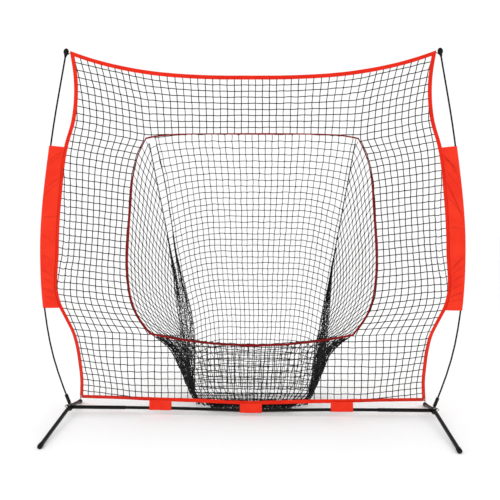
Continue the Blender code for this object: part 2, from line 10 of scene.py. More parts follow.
import bpy
from bpy.props import FloatProperty, FloatVectorProperty, IntProperty, PointerProperty
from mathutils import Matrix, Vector


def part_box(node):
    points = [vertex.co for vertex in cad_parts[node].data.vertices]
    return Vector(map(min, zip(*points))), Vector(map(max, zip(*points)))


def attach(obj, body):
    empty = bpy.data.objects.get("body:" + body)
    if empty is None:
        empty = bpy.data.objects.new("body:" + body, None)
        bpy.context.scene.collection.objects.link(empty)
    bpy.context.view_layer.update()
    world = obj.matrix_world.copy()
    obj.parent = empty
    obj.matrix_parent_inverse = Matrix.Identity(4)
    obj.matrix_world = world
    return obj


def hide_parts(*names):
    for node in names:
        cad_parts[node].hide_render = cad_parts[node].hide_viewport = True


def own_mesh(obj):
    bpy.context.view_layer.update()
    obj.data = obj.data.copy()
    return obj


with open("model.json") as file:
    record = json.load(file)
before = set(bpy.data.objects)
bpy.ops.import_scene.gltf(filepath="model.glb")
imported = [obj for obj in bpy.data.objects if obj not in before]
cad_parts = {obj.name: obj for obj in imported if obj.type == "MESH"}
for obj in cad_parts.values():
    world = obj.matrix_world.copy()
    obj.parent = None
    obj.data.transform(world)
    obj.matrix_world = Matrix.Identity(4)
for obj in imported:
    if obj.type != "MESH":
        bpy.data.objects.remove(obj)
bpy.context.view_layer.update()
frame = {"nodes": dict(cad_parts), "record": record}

bl_info = {
    "name": "Pitching target net",
    "version": (1, 0, 0),
    "blender": (4, 5, 0),
    "location": "3D View > Sidebar > Target net",
    "description": "Builds the netting, webbing, sleeves and finishes of a pitching target net",
    "category": "Object",
}

BODY = "net_frame"
SIDES = (("left", -1), ("right", 1))
NET_Y = (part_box("opening_piping")[0].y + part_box("opening_piping")[1].y) / 2

# ---- lines of the net, as the frame has them ------------------------------------------------------
BAR_Z, BAR_SAG, SAG_FROM = 0.0455, 0.0135, 0.720
BAR_TUBE_R = 0.0095
CORNER = (1.078, 0.275, 0.034)            # the net's bottom corner on the rear leg's hook
TOP_CORNER_X = 1.037
TAPE_HALF = 0.0115
HEM = TAPE_HALF - 0.0025                   # twines end this far from the middle of the webbing
SLEEVE_LOW, SLEEVE_HIGH = 0.637, 1.585
TOP_X, TOP_Z = 0.613, 1.628               # the opening's upper corner
LOW_X, LOW_Z = 0.595, 0.4885              # the opening's lower corner
POCKET_DEPTH = 0.500
POCKET_FLOOR_Z = 0.012
POCKET_FLOOR_FRONT = 0.200
RIM = 0.0065                              # the pocket starts this far behind the net's plane
FOLD_TOP = 1.640                          # the pocket's folds start at this height
OPENING_PEAK = 1.652                      # the top of the opening, at its middle
FOLD_START = Vector((0.600, 0.0965))      # the bottom corner triangle folds back along this line
FOLD_DIRECTION = (Vector((1.125, 0.600)) - FOLD_START).normalized()
FOLD_SOFTNESS = 0.020

POLE_LINE = [(0.070, 1.0763), (0.1205, 1.0957), (0.370, 1.1745), (0.600, 1.2135), (0.990, 1.2300),
             (1.610, 1.1650), (2.123, 1.072)]
SIDE_TAPE_LINE = [(0.034, 1.078), (0.171, 1.053), (0.276, 1.046), (0.390, 1.044), (0.490, 1.0565),
                  (0.571, 1.089), (0.660, 1.130), (0.987, 1.140), (1.300, 1.119), (1.587, 1.0775),
                  (1.730, 1.035), (1.895, 1.017), (1.990, 1.020), (2.112, 1.037)]
OPENING_SIDE_LINE = [(0.4885, 0.595), (0.590, 0.667), (0.688, 0.7055), (0.787, 0.7215), (0.894, 0.728),
                     (1.060, 0.721), (1.2375, 0.707), (1.411, 0.6895), (1.549, 0.653), (1.628, 0.613)]
POCKET_FRONT_LINE = [(0.012, 0.300), (0.070, 0.352), (0.265, 0.435), (0.395, 0.490), (0.4885, 0.595)]

# ---- netting --------------------------------------------------------------------------------------
CORNER_COLUMN = 15.3                      # the net's upright twine that passes an upper corner of the opening
SIDE_COLUMNS = 12                         # upright twines beside the opening, at its widest
POCKET_COLUMNS = 30
FRONT_ROWS, FLOOR_ROWS = 11, 4            # level twines of the pocket's front wall and of its floor
ROW_PITCH = 0.041
SIDE_TOP = 1.62                           # the side walls' netting starts at this height
SIDE_PITCH, SIDE_ROW_FALL = 0.032, 0.95   # and its twines are this far apart, and fall this steeply


def smooth_line(stations):
    """A smooth curve through (at, value) stations, as a function."""
    xs = [s[0] for s in stations]
    ys = [s[1] for s in stations]
    slopes = [(ys[1] - ys[0]) / (xs[1] - xs[0])]
    for i in range(1, len(xs) - 1):
        before, after = xs[i] - xs[i - 1], xs[i + 1] - xs[i]
        slopes.append((before**2 * ys[i + 1] + (after**2 - before**2) * ys[i] - after**2 * ys[i - 1])
                      / (before * after * (before + after)))
    slopes.append((ys[-1] - ys[-2]) / (xs[-1] - xs[-2]))

    def read(at):
        at = min(max(at, xs[0]), xs[-1])
        i = min(bisect_right(xs, at) - 1, len(xs) - 2)
        width = xs[i + 1] - xs[i]
        t = (at - xs[i]) / width
        return ((2 * t**3 - 3 * t**2 + 1) * ys[i] + (t**3 - 2 * t**2 + t) * width * slopes[i]
                + (3 * t**2 - 2 * t**3) * ys[i + 1] + (t**3 - t**2) * width * slopes[i + 1])

    return read


pole_x = smooth_line(POLE_LINE)
side_tape_x = smooth_line(SIDE_TAPE_LINE)
opening_side_x = smooth_line(OPENING_SIDE_LINE)
pocket_front_x = smooth_line(POCKET_FRONT_LINE)


def spread(start, end, count):
    return [start + (end - start) * i / (count - 1) for i in range(count)]


def between(a, b, share):
    return a + (b - a) * share


def bar_height(x):
    return BAR_Z - BAR_SAG * max(0.0, 1 - abs(x) / SAG_FROM) ** 2


def top_tape_height(x):
    return 1.975 + 0.140 * (abs(x) / 1.045) ** 2.8


def bottom_tape_height(x):
    x = abs(x)
    if x < 0.6:
        return 0.0965 - 0.0165 * (1 - x / 0.6) ** 1.6
    return 0.0965 - (0.0965 - CORNER[2]) * ((x - 0.6) / (CORNER[0] - 0.6)) ** 1.15


def past_fold(x, z):
    offset = Vector((abs(x), z)) - FOLD_START
    return offset.x * FOLD_DIRECTION.y - offset.y * FOLD_DIRECTION.x


def set_back(x, z):
    reach = CORNER[1] / past_fold(CORNER[0], CORNER[2])
    return reach * FOLD_SOFTNESS * math.log(1 + math.exp(past_fold(x, z) / FOLD_SOFTNESS))


def on_net(x, z, forward=0.0):
    return Vector((x, NET_Y + set_back(x, z) - forward, z))


def opening_top(x):
    return 1.654 - 0.026 * (abs(x) / TOP_X) ** 6


def opening_bottom(x):
    return 0.423 + 0.0655 * (abs(x) / LOW_X) ** 2


def opening_outline(across, down):
    top = [(x, opening_top(x)) for x in spread(-TOP_X, TOP_X, across)]
    right = [(opening_side_x(z), z) for z in spread(TOP_Z, LOW_Z, down)[1:]]
    bottom = [(x, opening_bottom(x)) for x in spread(LOW_X, -LOW_X, across)[1:]]
    left = [(-x, z) for x, z in reversed(right[:-1])]
    return top + right + bottom + left


def pocket_back(z):
    """Half width and depth of the pocket's back wall at a height."""
    z = min(z, FOLD_TOP)
    half = 0.388 + 0.212 * (z / TOP_Z) ** 0.9
    down = min(1.0, (FOLD_TOP - z) / 1.340)
    tuck = max(0.0, (0.10 - z) / 0.10)
    return half, POCKET_DEPTH * math.sin(down * math.pi / 2) ** 1.1 - 0.03 * tuck**2


def pocket_front(z):
    """Half width and depth of the pocket's front edge at a height."""
    if z >= LOW_Z:
        return opening_side_x(z), RIM
    return pocket_front_x(z), RIM + (POCKET_FLOOR_FRONT - RIM) * (1 - z / LOW_Z)


# ---- materials ------------------------------------------------------------------------------------
def linear(colour):
    """An sRGB hex colour as linear red, green, blue and alpha."""
    channels = [int(colour[i:i + 2], 16) / 255 for i in (1, 3, 5)]
    return (*[c / 12.92 if c <= 0.04045 else ((c + 0.055) / 1.055) ** 2.4 for c in channels], 1.0)


def add_node(tree, kind, inputs=None, **settings):
    """Add a node. Its inputs are values, or other nodes' outputs to link from."""
    made = tree.nodes.new(kind)
    for key, value in settings.items():
        setattr(made, key, value)
    for key, value in (inputs or {}).items():
        if isinstance(value, bpy.types.NodeSocket):
            tree.links.new(value, made.inputs[key])
        else:
            made.inputs[key].default_value = value
    return made


def finish(name, patch, low, high, bump=None, waves=None, grain=None, rough=None, shade=1.0,
           edges=(0.35, 0.65), stretch=None, **values):
    """A material whose colour drifts between two tones in patches this wide, under a raised pattern.
    Waves are straight ridges: coordinates, directions, distance apart. Grain is a texture: node, output,
    scale, detail. Bump is the pattern's height and strength, and shade how dark the colour is painted
    between its ridges, as painted shade in the gaps. Rough is noise (scale, detail) between two roughnesses.
    The other values are the shader's own."""
    mat = bpy.data.materials.new(name)
    mat.use_nodes = True
    tree = mat.node_tree
    shader = tree.nodes["Principled BSDF"]
    for key, value in values.items():
        shader.inputs[key.replace("_", " ")].default_value = value
    where = add_node(tree, "ShaderNodeTexCoord")
    body = where.outputs["Object"]
    if stretch:
        body = add_node(tree, "ShaderNodeMapping", {"Vector": body, "Scale": stretch}).outputs[0]
    cloud = add_node(tree, "ShaderNodeTexNoise", {"Vector": body, "Scale": 1 / patch, "Detail": 3.0})
    ramp = add_node(tree, "ShaderNodeValToRGB", {"Fac": cloud.outputs["Fac"]})
    stops = ramp.color_ramp.elements
    (stops[0].position, stops[1].position), (stops[0].color, stops[1].color) = edges, (low, high)
    colour, raised = ramp.outputs["Color"], None
    if waves:
        coordinates, directions, apart = waves
        for direction in directions:
            ridges = add_node(tree, "ShaderNodeTexWave",
                              {"Vector": where.outputs[coordinates], "Distortion": 0.0,
                               "Scale": 2 * math.pi / (20 * apart)},
                              wave_type="BANDS", bands_direction=direction).outputs["Fac"]
            raised = add_node(tree, "ShaderNodeMath", {0: raised, 1: ridges},
                              operation="MULTIPLY").outputs[0] if raised else ridges
    if grain:
        kind, output, scale, detail = grain
        raised = add_node(tree, kind, {"Vector": body, "Scale": scale, "Detail": detail}).outputs[output]
    # Painted shade: the colour is darkened between the ridges, where the gaps would lie in shadow.
    if shade < 1.0:
        colour = darkened(tree, colour, raised, shade, 1.0)
    tree.links.new(colour, shader.inputs["Base Color"])
    if rough:
        scale, detail, smooth, dull = rough
        wear = add_node(tree, "ShaderNodeTexNoise", {"Vector": body, "Scale": scale, "Detail": detail})
        worn = add_node(tree, "ShaderNodeMapRange", {"Value": wear.outputs["Fac"], "To Min": smooth,
                                                     "To Max": dull})
        tree.links.new(worn.outputs[0], shader.inputs["Roughness"])
    if bump:
        relief = add_node(tree, "ShaderNodeBump",
                          {"Height": raised, "Distance": bump[0], "Strength": bump[1]})
        tree.links.new(relief.outputs["Normal"], shader.inputs["Normal"])
    return mat


def darkened(tree, colour, height, at_0, at_1):
    """A colour multiplied by a share that goes from at_0 to at_1 with a height."""
    share = add_node(tree, "ShaderNodeMapRange", {"Value": height, "To Min": at_0, "To Max": at_1})
    return add_node(tree, "ShaderNodeMix", {"Factor": 1.0, 6: colour, 7: share.outputs[0]},
                    data_type="RGBA", blend_type="MULTIPLY").outputs[2]


def red_sleeve_cloth(tones):
    """Red woven polyester, like tent cloth: fine plain weave that shows as a slight grain, soft sheen.
    The real threads are 0.35 mm apart, and are drawn 1.4 mm apart so that they show."""
    # Painted shade: the colour is darkened between the threads and, below, in the sleeves' creases.
    mat = finish("woven_polyester_red", 0.09, tones.sleeve_dark, tones.sleeve_light, (0.0003, 0.6),
                 waves=("UV", ("X", "Y"), 0.0014), shade=0.90, Roughness=0.70, Sheen_Weight=0.05,
                 Sheen_Roughness=0.5, Specular_IOR_Level=0.15)
    tree = mat.node_tree
    base = tree.nodes["Principled BSDF"].inputs["Base Color"]
    # Painted shade in the creases: the colour is darkened by up to a third where the fold attribute is deep.
    painted_crease_shade = add_node(tree, "ShaderNodeAttribute", attribute_name="fold").outputs["Fac"]
    tree.links.new(darkened(tree, base.links[0].from_socket, painted_crease_shade, 1.0, 0.66), base)
    where = tree.nodes["Texture Coordinate"].outputs["Object"]
    ripples = add_node(tree, "ShaderNodeTexNoise", {"Vector": where, "Scale": 26.0, "Detail": 2.0})
    soft = add_node(tree, "ShaderNodeBump", {"Height": ripples.outputs["Fac"], "Distance": 0.004,
                                             "Strength": 0.35})
    tree.links.new(soft.outputs["Normal"], tree.nodes["Bump"].inputs["Normal"])
    return mat


def red_webbing(tones):
    """Red grosgrain webbing folded over the net's edge: ribs across it, a little deeper in colour.
    The ribs are drawn 2 mm apart, about twice the real distance."""
    # Painted shade: the colour is darkened between the ribs.
    return finish("grosgrain_webbing_red", 0.12, tones.webbing_dark, tones.webbing_light, (0.0004, 0.7),
                  waves=("UV", ("X",), 0.002), shade=0.86, Roughness=0.70, Sheen_Weight=0.04,
                  Specular_IOR_Level=0.15)


def piping_tape(tones):
    """Dark red bias tape round a cord: diagonal twill lines, nearly matt. The lines are drawn 4 mm apart,
    about four times the real distance."""
    # Painted shade: the colour is darkened between the twill lines.
    return finish("piping_tape_dark_red", 0.15, tones.piping_dark, tones.piping_light, (0.0005, 0.6),
                  waves=("Object", ("DIAGONAL",), 0.004), shade=0.82, Roughness=0.7, Specular_IOR_Level=0.2)


def sewing_thread(tones):
    """Polyester sewing thread, a shade deeper than the webbing, with its twist as fine ridges."""
    return finish("sewing_thread_red", 0.02, linear("#C21A08"), linear("#DA260F"), (0.0002, 0.5),
                  waves=("Object", ("DIAGONAL",), 0.0008), Roughness=0.5, Sheen_Weight=0.2)


def netting_twine(tones):
    """Black polyethylene twine, tarred: laid strands show as ridges, with a dull shine where it bends."""
    return finish("polyethylene_twine_black", 0.05, tones.twine_dark, tones.twine_light, (0.0004, 0.6),
                  waves=("Object", ("DIAGONAL",), 0.0022), Roughness=0.55, Specular_IOR_Level=0.3)


def elastic_cord(tones):
    """Black braided elastic: a fine crossed braid, matt."""
    return finish("braided_elastic_black", 0.004, linear("#0A0A0A"), linear("#1C1C1C"), (0.0003, 0.7),
                  waves=("Object", ("DIAGONAL",), 0.0012), Roughness=0.8, Specular_IOR_Level=0.2)


def powder_coat(tones):
    """Black polyester powder coat on steel: satin, with the fine orange peel that baking leaves."""
    return finish("powder_coat_black", 0.03, tones.coat_dark, tones.coat_light, (0.0002, 0.35),
                  grain=("ShaderNodeTexNoise", "Fac", 900.0, 2.0), rough=(60.0, 4.0, 0.34, 0.50),
                  Specular_IOR_Level=0.24, Coat_Weight=0.05, Coat_Roughness=0.25)


def fibreglass_rod(tones):
    """Pultruded black fibreglass: semi-gloss, with long fibre streaks along the rod, about 1 mm wide."""
    return finish("fibreglass_rod_black", 1.0, linear("#060606"), linear("#121213"), (0.0002, 0.3),
                  grain=("ShaderNodeTexNoise", "Fac", 1.0, 3.0), rough=(1.0, 3.0, 0.24, 0.42),
                  edges=(0.0, 1.0), stretch=(900.0, 900.0, 12.0), Specular_IOR_Level=0.18)


def moulded_plastic(tones):
    """Black polypropylene: spark-eroded mould grain, dull."""
    return finish("polypropylene_black", 0.02, linear("#090909"), linear("#121213"), (0.0002, 0.4),
                  grain=("ShaderNodeTexVoronoi", "Distance", 1100.0, 0.0), rough=(150.0, 4.0, 0.42, 0.60),
                  Specular_IOR_Level=0.22)


def zinc_plate(tones):
    """Bright zinc-plated steel: silver with cloudy passivation and fine drawn scratches."""
    return finish("zinc_plated_steel", 0.006, linear("#B9B6AC"), linear("#DEDCD4"), (0.0001, 0.3),
                  grain=("ShaderNodeTexNoise", "Fac", 700.0, 4.0), rough=(700.0, 4.0, 0.22, 0.45),
                  Metallic=1.0)


def floor_paint(tones):
    """White studio floor: matt paint with a trace of unevenness."""
    return finish("studio_floor_white", 1.5, linear("#E7E7E7"), linear("#E9E9E9"), Roughness=0.9,
                  Specular_IOR_Level=0.1, Emission_Color=(1.0, 1.0, 1.0, 1.0), Emission_Strength=0.20)


MATERIALS = {}


def finish_of(maker):
    """One material for each finish, made when it is first wanted."""
    if maker not in MATERIALS:
        MATERIALS[maker] = maker(bpy.context.scene.target_tones)
    return MATERIALS[maker]


# ---- making pieces --------------------------------------------------------------------------------
def deselect():
    bpy.ops.object.select_all(action="DESELECT")


def select_only(obj):
    deselect()
    obj.select_set(True)
    bpy.context.view_layer.objects.active = obj


def keep_piece(obj, maker, slot, *nodes):
    """Give a finished piece its material and body, and hide the nodes that it stands for. The slot is not
    used.
    """
    obj.data.materials.clear()
    obj.data.materials.append(finish_of(maker))
    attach(obj, BODY)
    if nodes:
        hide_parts(*nodes)
    return obj


def mesh_piece(name, points, faces):
    mesh = bpy.data.meshes.new(name)
    mesh.from_pydata([tuple(p) for p in points], [], faces)
    obj = bpy.data.objects.new(name, mesh)
    bpy.context.collection.objects.link(obj)
    return obj


def cords(name, runs, radius, sides=4, closed=False, taper=None):
    """Round cords along runs of points, as one mesh."""
    curve = bpy.data.curves.new(name, "CURVE")
    curve.dimensions = "3D"
    curve.bevel_depth = radius
    curve.bevel_resolution = sides // 2 - 2
    curve.use_fill_caps = not closed
    for run in runs:
        spline = curve.splines.new("POLY")
        spline.points.add(len(run) - 1)
        for i, (point, at) in enumerate(zip(spline.points, run)):
            point.co = (*at, 1.0)
            point.radius = taper[i] if taper else 1.0
        spline.use_cyclic_u = closed
    obj = bpy.data.objects.new(name, curve)
    bpy.context.collection.objects.link(obj)
    select_only(obj)
    bpy.ops.object.convert(target="MESH")
    return bpy.context.view_layer.objects.active


def merge(name, pieces):
    """Join meshes into one, under this name."""
    select_only(pieces[0])
    for piece in pieces[1:]:
        piece.select_set(True)
    if len(pieces) > 1:
        bpy.ops.object.join()
    joined = bpy.context.view_layer.objects.active
    joined.name = name
    joined.data.name = name
    return joined


def apply_modifiers(obj):
    select_only(obj)
    for modifier in list(obj.modifiers):
        bpy.ops.object.modifier_apply(modifier=modifier.name)


def knots(name, places, size, seed):
    """Small tied knots, each a copy of one lumpy ball."""
    deselect()
    bpy.ops.mesh.primitive_ico_sphere_add(subdivisions=1, radius=1.0, location=(0, 0, 0))
    ball = bpy.context.view_layer.objects.active
    shape = [v.co.copy() for v in ball.data.vertices]
    faces = [tuple(p.vertices) for p in ball.data.polygons]
    bpy.data.objects.remove(ball, do_unlink=True)
    rng = random.Random(seed)
    points, all_faces = [], []
    for place in places:
        first = len(points)
        stretch = Vector((rng.uniform(0.85, 1.3), rng.uniform(0.8, 1.0), rng.uniform(0.85, 1.25))) * size
        points += [place + Vector((p.x * stretch.x, p.y * stretch.y, p.z * stretch.z)) for p in shape]
        all_faces += [tuple(first + i for i in face) for face in faces]
    return mesh_piece(name, points, all_faces)


def lattice(point, inside, columns, rows, seed, slack=0.0015, droop=None):
    """Twines through the crossings of a net: runs of points along its columns and rows, and the knots.
    Runs end where inside(column, row) turns false. Level twines hang down by droop(middle) between knots."""
    rng = random.Random(seed)
    moved = {}

    def crossing(c, r):
        if (c, r) not in moved:
            jitter = Vector([rng.uniform(-slack, slack) for _ in range(3)])
            moved[c, r] = point(c, r) + jitter
        return moved[c, r]

    def edge_between(c0, r0, c1, r1):
        """Where the line from an inside crossing to an outside one leaves the net."""
        low, high = 0.0, 1.0
        for _ in range(9):
            half = (low + high) / 2
            if inside(between(c0, c1, half), between(r0, r1, half)):
                low = half
            else:
                high = half
        return point(between(c0, c1, low), between(r0, r1, low))

    runs, tied = [], []
    for along_rows in (False, True):
        fixed, moving = (rows, columns) if along_rows else (columns, rows)
        for f in fixed:
            run, before = [], None
            for m in moving:
                here = (m, f) if along_rows else (f, m)
                if inside(*here):
                    at = crossing(*here)
                    if run:
                        middle = (run[-1] + at) / 2
                        if droop and along_rows:
                            middle.z -= droop(middle)
                        run.append(middle + Vector([rng.uniform(-slack, slack) for _ in range(3)]))
                    elif before is not None:
                        run.append(edge_between(*here, *before))
                    run.append(at)
                    if not along_rows:
                        tied.append(at)
                else:
                    if run:
                        run.append(edge_between(*last, *here))
                        runs.append(run)
                    run = []
                    before = here
                last = here
            if len(run) > 1:
                runs.append(run)
    return runs, tied


def netting(name, runs, tied, radius, knot_size, seed):
    return merge(name, [cords(name, runs, radius), knots(name + "_knots", tied, knot_size, seed)])


def strip(name, rails, thickness, bevel=0.0005, folds=None):
    """A flat strip of cloth between two or more rails of points, with its UV map in metres.
    Folds say how deep in a crease each point lies, from 0 to 1, for the shade painted into the creases."""
    count = len(rails[0])
    points = [p for rail in rails for p in rail]
    faces = [(a * count + i, a * count + i + 1, (a + 1) * count + i + 1, (a + 1) * count + i)
             for a in range(len(rails) - 1) for i in range(count - 1)]
    obj = mesh_piece(name, points, faces)
    lengths = [0.0]
    for a, b in zip(rails[0], rails[0][1:]):
        lengths.append(lengths[-1] + (b - a).length)
    widths = [0.0]
    for a, b in zip(rails, rails[1:]):
        widths.append(widths[-1] + (b[count // 2] - a[count // 2]).length)
    uv = obj.data.uv_layers.new(name="cut")
    for loop in obj.data.loops:
        v = loop.vertex_index
        uv.data[loop.index].uv = (lengths[v % count], widths[v // count])
    if folds:
        # The fold attribute carries where shade is painted into the creases.
        deep = obj.data.attributes.new("fold", "FLOAT", "POINT")
        deep.data.foreach_set("value", [value for rail in folds for value in rail])
    wall = obj.modifiers.new("thickness", "SOLIDIFY")
    wall.thickness = thickness
    wall.offset = 0.0
    if bevel:
        round_edge = obj.modifiers.new("edges", "BEVEL")
        round_edge.width = bevel
        round_edge.segments = 2
        round_edge.limit_method = "ANGLE"
    apply_modifiers(obj)
    bpy.ops.object.mode_set(mode="EDIT")
    bpy.ops.mesh.select_all(action="SELECT")
    bpy.ops.mesh.normals_make_consistent(inside=False)
    bpy.ops.object.mode_set(mode="OBJECT")
    bpy.ops.object.shade_smooth_by_angle(angle=math.radians(40))
    return obj


def stitches(name, line, pitch, forward, length=0.0028, width=0.0007):
    """A row of lock stitches along a line of points, each a small raised dash."""
    points, faces = [], []
    distance, target = 0.0, pitch / 2
    for a, b in zip(line, line[1:]):
        step = (b - a).length
        along = (b - a) / step
        side = along.cross(forward).normalized()
        while target < distance + step:
            middle = a + along * (target - distance)
            first = len(points)
            for end, lift in ((-1, 0.0), (0, 1.0), (1, 0.0)):
                for across in (-1, 1):
                    points.append(middle + along * end * length / 2 + side * across * width / 2
                                  + forward * (lift * 0.0005))
            under = middle - forward * 0.0004
            points += [under - along * length / 2, under + along * length / 2]
            f = first
            faces += [(f, f + 2, f + 3, f + 1), (f + 2, f + 4, f + 5, f + 3), (f + 6, f + 7, f + 4, f + 2, f),
                      (f + 1, f + 3, f + 5, f + 7, f + 6), (f, f + 1, f + 6), (f + 4, f + 7, f + 5)]
            target += pitch
        distance += step
    return mesh_piece(name, points, faces)


# ---- front netting --------------------------------------------------------------------------------
def column_x(i, z):
    """Where an upright twine of the front net stands at a height. Column 0 is the middle one."""
    a = abs(i)
    lean = 0.09 * min(max(0.0, z - 1.63), 0.22) + 0.23 * max(0.0, z - 1.85)
    corner = TOP_X + lean if z > TOP_Z else opening_side_x(z) if z > LOW_Z else 0.600
    if a <= CORNER_COLUMN:
        base = TOP_X if z > 1.2 else 0.600
        x = base * a / CORNER_COLUMN + lean * (a / CORNER_COLUMN) ** 2
    else:
        edge = side_tape_x(z) - TAPE_HALF
        fitted = (10.3 + 1.7 * math.exp(-(((z - 1.10) / 0.42) ** 2))
                  + 0.8 * math.exp(-(((z - 0.10) / 0.2) ** 2)) - 3.6 * min(max(0.0, z - 1.73), 0.35))
        x = between(corner, edge, (a - CORNER_COLUMN) / fitted)
    return math.copysign(x, i)


ROW_HEIGHTS = [0.055]                     # each level twine's height where it passes the opening's corner
while ROW_HEIGHTS[-1] < 2.2:
    at_z = ROW_HEIGHTS[-1]
    ROW_HEIGHTS.append(at_z + (0.0410 if at_z < 0.33 else 0.0352 if at_z < 0.68 else
                               0.0398 if at_z < 1.60 else 0.0400))

row_slope = smooth_line([(0.05, -0.03), (0.15, -0.03), (0.40, 0.03), (0.60, 0.10), (1.00, 0.12),
                         (1.30, 0.15), (1.60, 0.20), (1.90, 0.23), (2.20, 0.24)])


def row_z(j, x):
    """Height of a level twine of the front net at a distance from the middle."""
    low = int(math.floor(j))
    low = min(max(low, 0), len(ROW_HEIGHTS) - 2)
    at_corner = between(ROW_HEIGHTS[low], ROW_HEIGHTS[low + 1], j - low)
    a = abs(x)
    bend = 0.012 * math.log(1 + math.exp((a - 0.62) / 0.012)) if a < 0.9 else a - 0.62
    z = at_corner + row_slope(at_corner) * bend
    if at_corner > 1.66 and a < 0.62:
        z -= (at_corner - 1.70) * 0.14 * (1 - (a / 0.62) ** 2.5)
    return z


def front_crossing(i, j):
    z = 1.0
    for _ in range(7):
        x = column_x(i, z)
        z = row_z(j, x)
    return x, z


def in_front_net(i, j):
    x, z = front_crossing(i, j)
    a = abs(x)
    if not bottom_tape_height(a) + HEM < z < top_tape_height(a) - HEM or a > side_tape_x(z) - HEM:
        return False
    if z > TOP_Z or z < LOW_Z:
        return not opening_bottom(a) < z < opening_top(a) if a < TOP_X else True
    return a > opening_side_x(z)


class NetProperties(bpy.types.PropertyGroup):
    # Real twine is about 3 mm thick. It is drawn thicker here, so that it still shows from a few metres.
    twine: FloatProperty(name="Twine", description="Thickness of the netting's twine", default=0.0050,
                         min=0.001, max=0.007, unit="LENGTH")
    pocket_twine: FloatProperty(name="Pocket twine", description="Thickness of the pocket's twine",
                                default=0.0040, min=0.001, max=0.007, unit="LENGTH")
    knot: FloatProperty(name="Knot", description="Width of a knot where two twines cross", default=0.0084,
                        min=0.002, max=0.010, unit="LENGTH")
    seed: IntProperty(name="Seed", description="Changes how unevenly the twines lie", default=7, min=0)


class ClothProperties(bpy.types.PropertyGroup):
    webbing_thickness: FloatProperty(name="Webbing", description="Thickness of the folded border webbing",
                                     default=0.0024, min=0.001, max=0.004, unit="LENGTH")
    sleeve_cloth: FloatProperty(name="Sleeve cloth", description="Thickness of the pole sleeves' cloth",
                                default=0.0011, min=0.0005, max=0.003, unit="LENGTH")
    stitch_pitch: FloatProperty(name="Stitch", description="Distance from one stitch to the next",
                                default=0.006, min=0.003, max=0.015, unit="LENGTH")
    wrinkle: FloatProperty(name="Wrinkles", description="Height of the sleeves' wrinkles", default=0.0048,
                           min=0.0, max=0.008, unit="LENGTH")


def tone(name, colour):
    return FloatVectorProperty(name=name, description=f"Colour of the {name.lower()} patches", size=4,
                               default=linear(colour), min=0.0, max=1.0, subtype="COLOR")


class ToneProperties(bpy.types.PropertyGroup):
    sleeve_dark: tone("Sleeve cloth's darker", "#F42E16")
    sleeve_light: tone("Sleeve cloth's lighter", "#FA371C")
    webbing_dark: tone("Webbing's darker", "#E62006")
    webbing_light: tone("Webbing's lighter", "#F22A0C")
    piping_dark: tone("Piping's darker", "#780000")
    piping_light: tone("Piping's lighter", "#940404")
    twine_dark: tone("Twine's darker", "#060606")
    twine_light: tone("Twine's lighter", "#161617")
    coat_dark: tone("Powder coat's darker", "#060606")
    coat_light: tone("Powder coat's lighter", "#0D0D0E")


class StageProperties(bpy.types.PropertyGroup):
    camera_height: FloatProperty(name="Camera height", description="Height of the camera above the floor",
                                 default=1.2083, min=0.1, unit="LENGTH")
    lens: FloatProperty(name="Lens", description="Focal length of the camera in millimetres", default=49.495,
                        min=10.0)
    daylight: FloatProperty(name="Daylight", description="Strength of the white studio light", default=1.02,
                            min=0.0)


CAMERA_PLACE = (0.0806, NET_Y - 3.9962)     # before the net, a little to its right
CAMERA_TURN = (86.777, -0.19, 1.283)        # degrees
FLOOR_SIZE = 60.0
GLOSS_LIGHT = 0.3                           # dark finishes see this share of the daylight in their gloss
# Name, place, size and watts of each soft light. All aim at the net's middle.
LIGHTS = (("key", (-3.2, -3.6, 4.2), 1.6, 30.0), ("fill", (3.6, -3.2, 2.6), 1.6, 12.0),
          ("back", (0.5, 4.0, 4.5), 3.0, 8.0))


class TARGETNET_OT_stage(bpy.types.Operator):
    """Set the camera, the white floor and the soft studio light"""
    bl_idname = "targetnet.stage"
    bl_label = "Stage"

    def execute(self, context):
        stage = context.scene.target_stage
        deselect()
        bpy.ops.object.camera_add(location=(*CAMERA_PLACE, stage.camera_height),
                                  rotation=[math.radians(angle) for angle in CAMERA_TURN])
        camera = context.object
        camera.data.sensor_width = 36.0
        camera.data.lens = stage.lens
        context.scene.camera = camera

        deselect()
        bpy.ops.mesh.primitive_plane_add(size=FLOOR_SIZE, location=(0, 0, 0))
        floor = context.object
        floor.name = "studio_floor"
        floor.data.materials.append(finish_of(floor_paint))

        world = bpy.data.worlds.new("studio")
        world.use_nodes = True
        context.scene.world = world
        sky = world.node_tree.nodes["Background"]
        sky.inputs["Color"].default_value = (1.0, 1.0, 1.0, 1.0)
        path = add_node(world.node_tree, "ShaderNodeLightPath")
        dimmed = add_node(world.node_tree, "ShaderNodeMapRange",
                          {"Value": path.outputs["Is Glossy Ray"], "To Min": stage.daylight,
                           "To Max": GLOSS_LIGHT * stage.daylight})
        world.node_tree.links.new(dimmed.outputs[0], sky.inputs["Strength"])
        for name, place, size, watts in LIGHTS:
            deselect()
            direction = Vector((0, 0, 1.0)) - Vector(place)
            bpy.ops.object.light_add(type="AREA", location=place,
                                     rotation=direction.to_track_quat("-Z", "Y").to_euler())
            light = context.object
            light.name = f"{name}_light"
            light.data.size = size
            light.data.energy = watts
        context.scene.view_settings.view_transform = "Standard"
        return {"FINISHED"}


class TARGETNET_OT_finishes(bpy.types.Operator):
    """Give every part of the metal frame its finish"""
    bl_idname = "targetnet.finishes"
    bl_label = "Frame finishes"

    def execute(self, context):
        makers = {"black_powder_coat": powder_coat, "zinc_plate": zinc_plate, "red_fabric": red_sleeve_cloth,
                  "black_fibreglass": fibreglass_rod, "black_plastic": moulded_plastic,
                  "red_webbing": red_webbing, "dark_red_piping": piping_tape, "black_netting": netting_twine,
                  "black_cord": elastic_cord}
        for part in frame["record"]["subparts"]:
            node = frame["nodes"][part["node"]]
            maker = makers[part["material_slot"]]
            if not node.material_slots:
                node.data.materials.append(finish_of(maker))
            for slot in node.material_slots:
                slot.material = finish_of(maker)
        return {"FINISHED"}


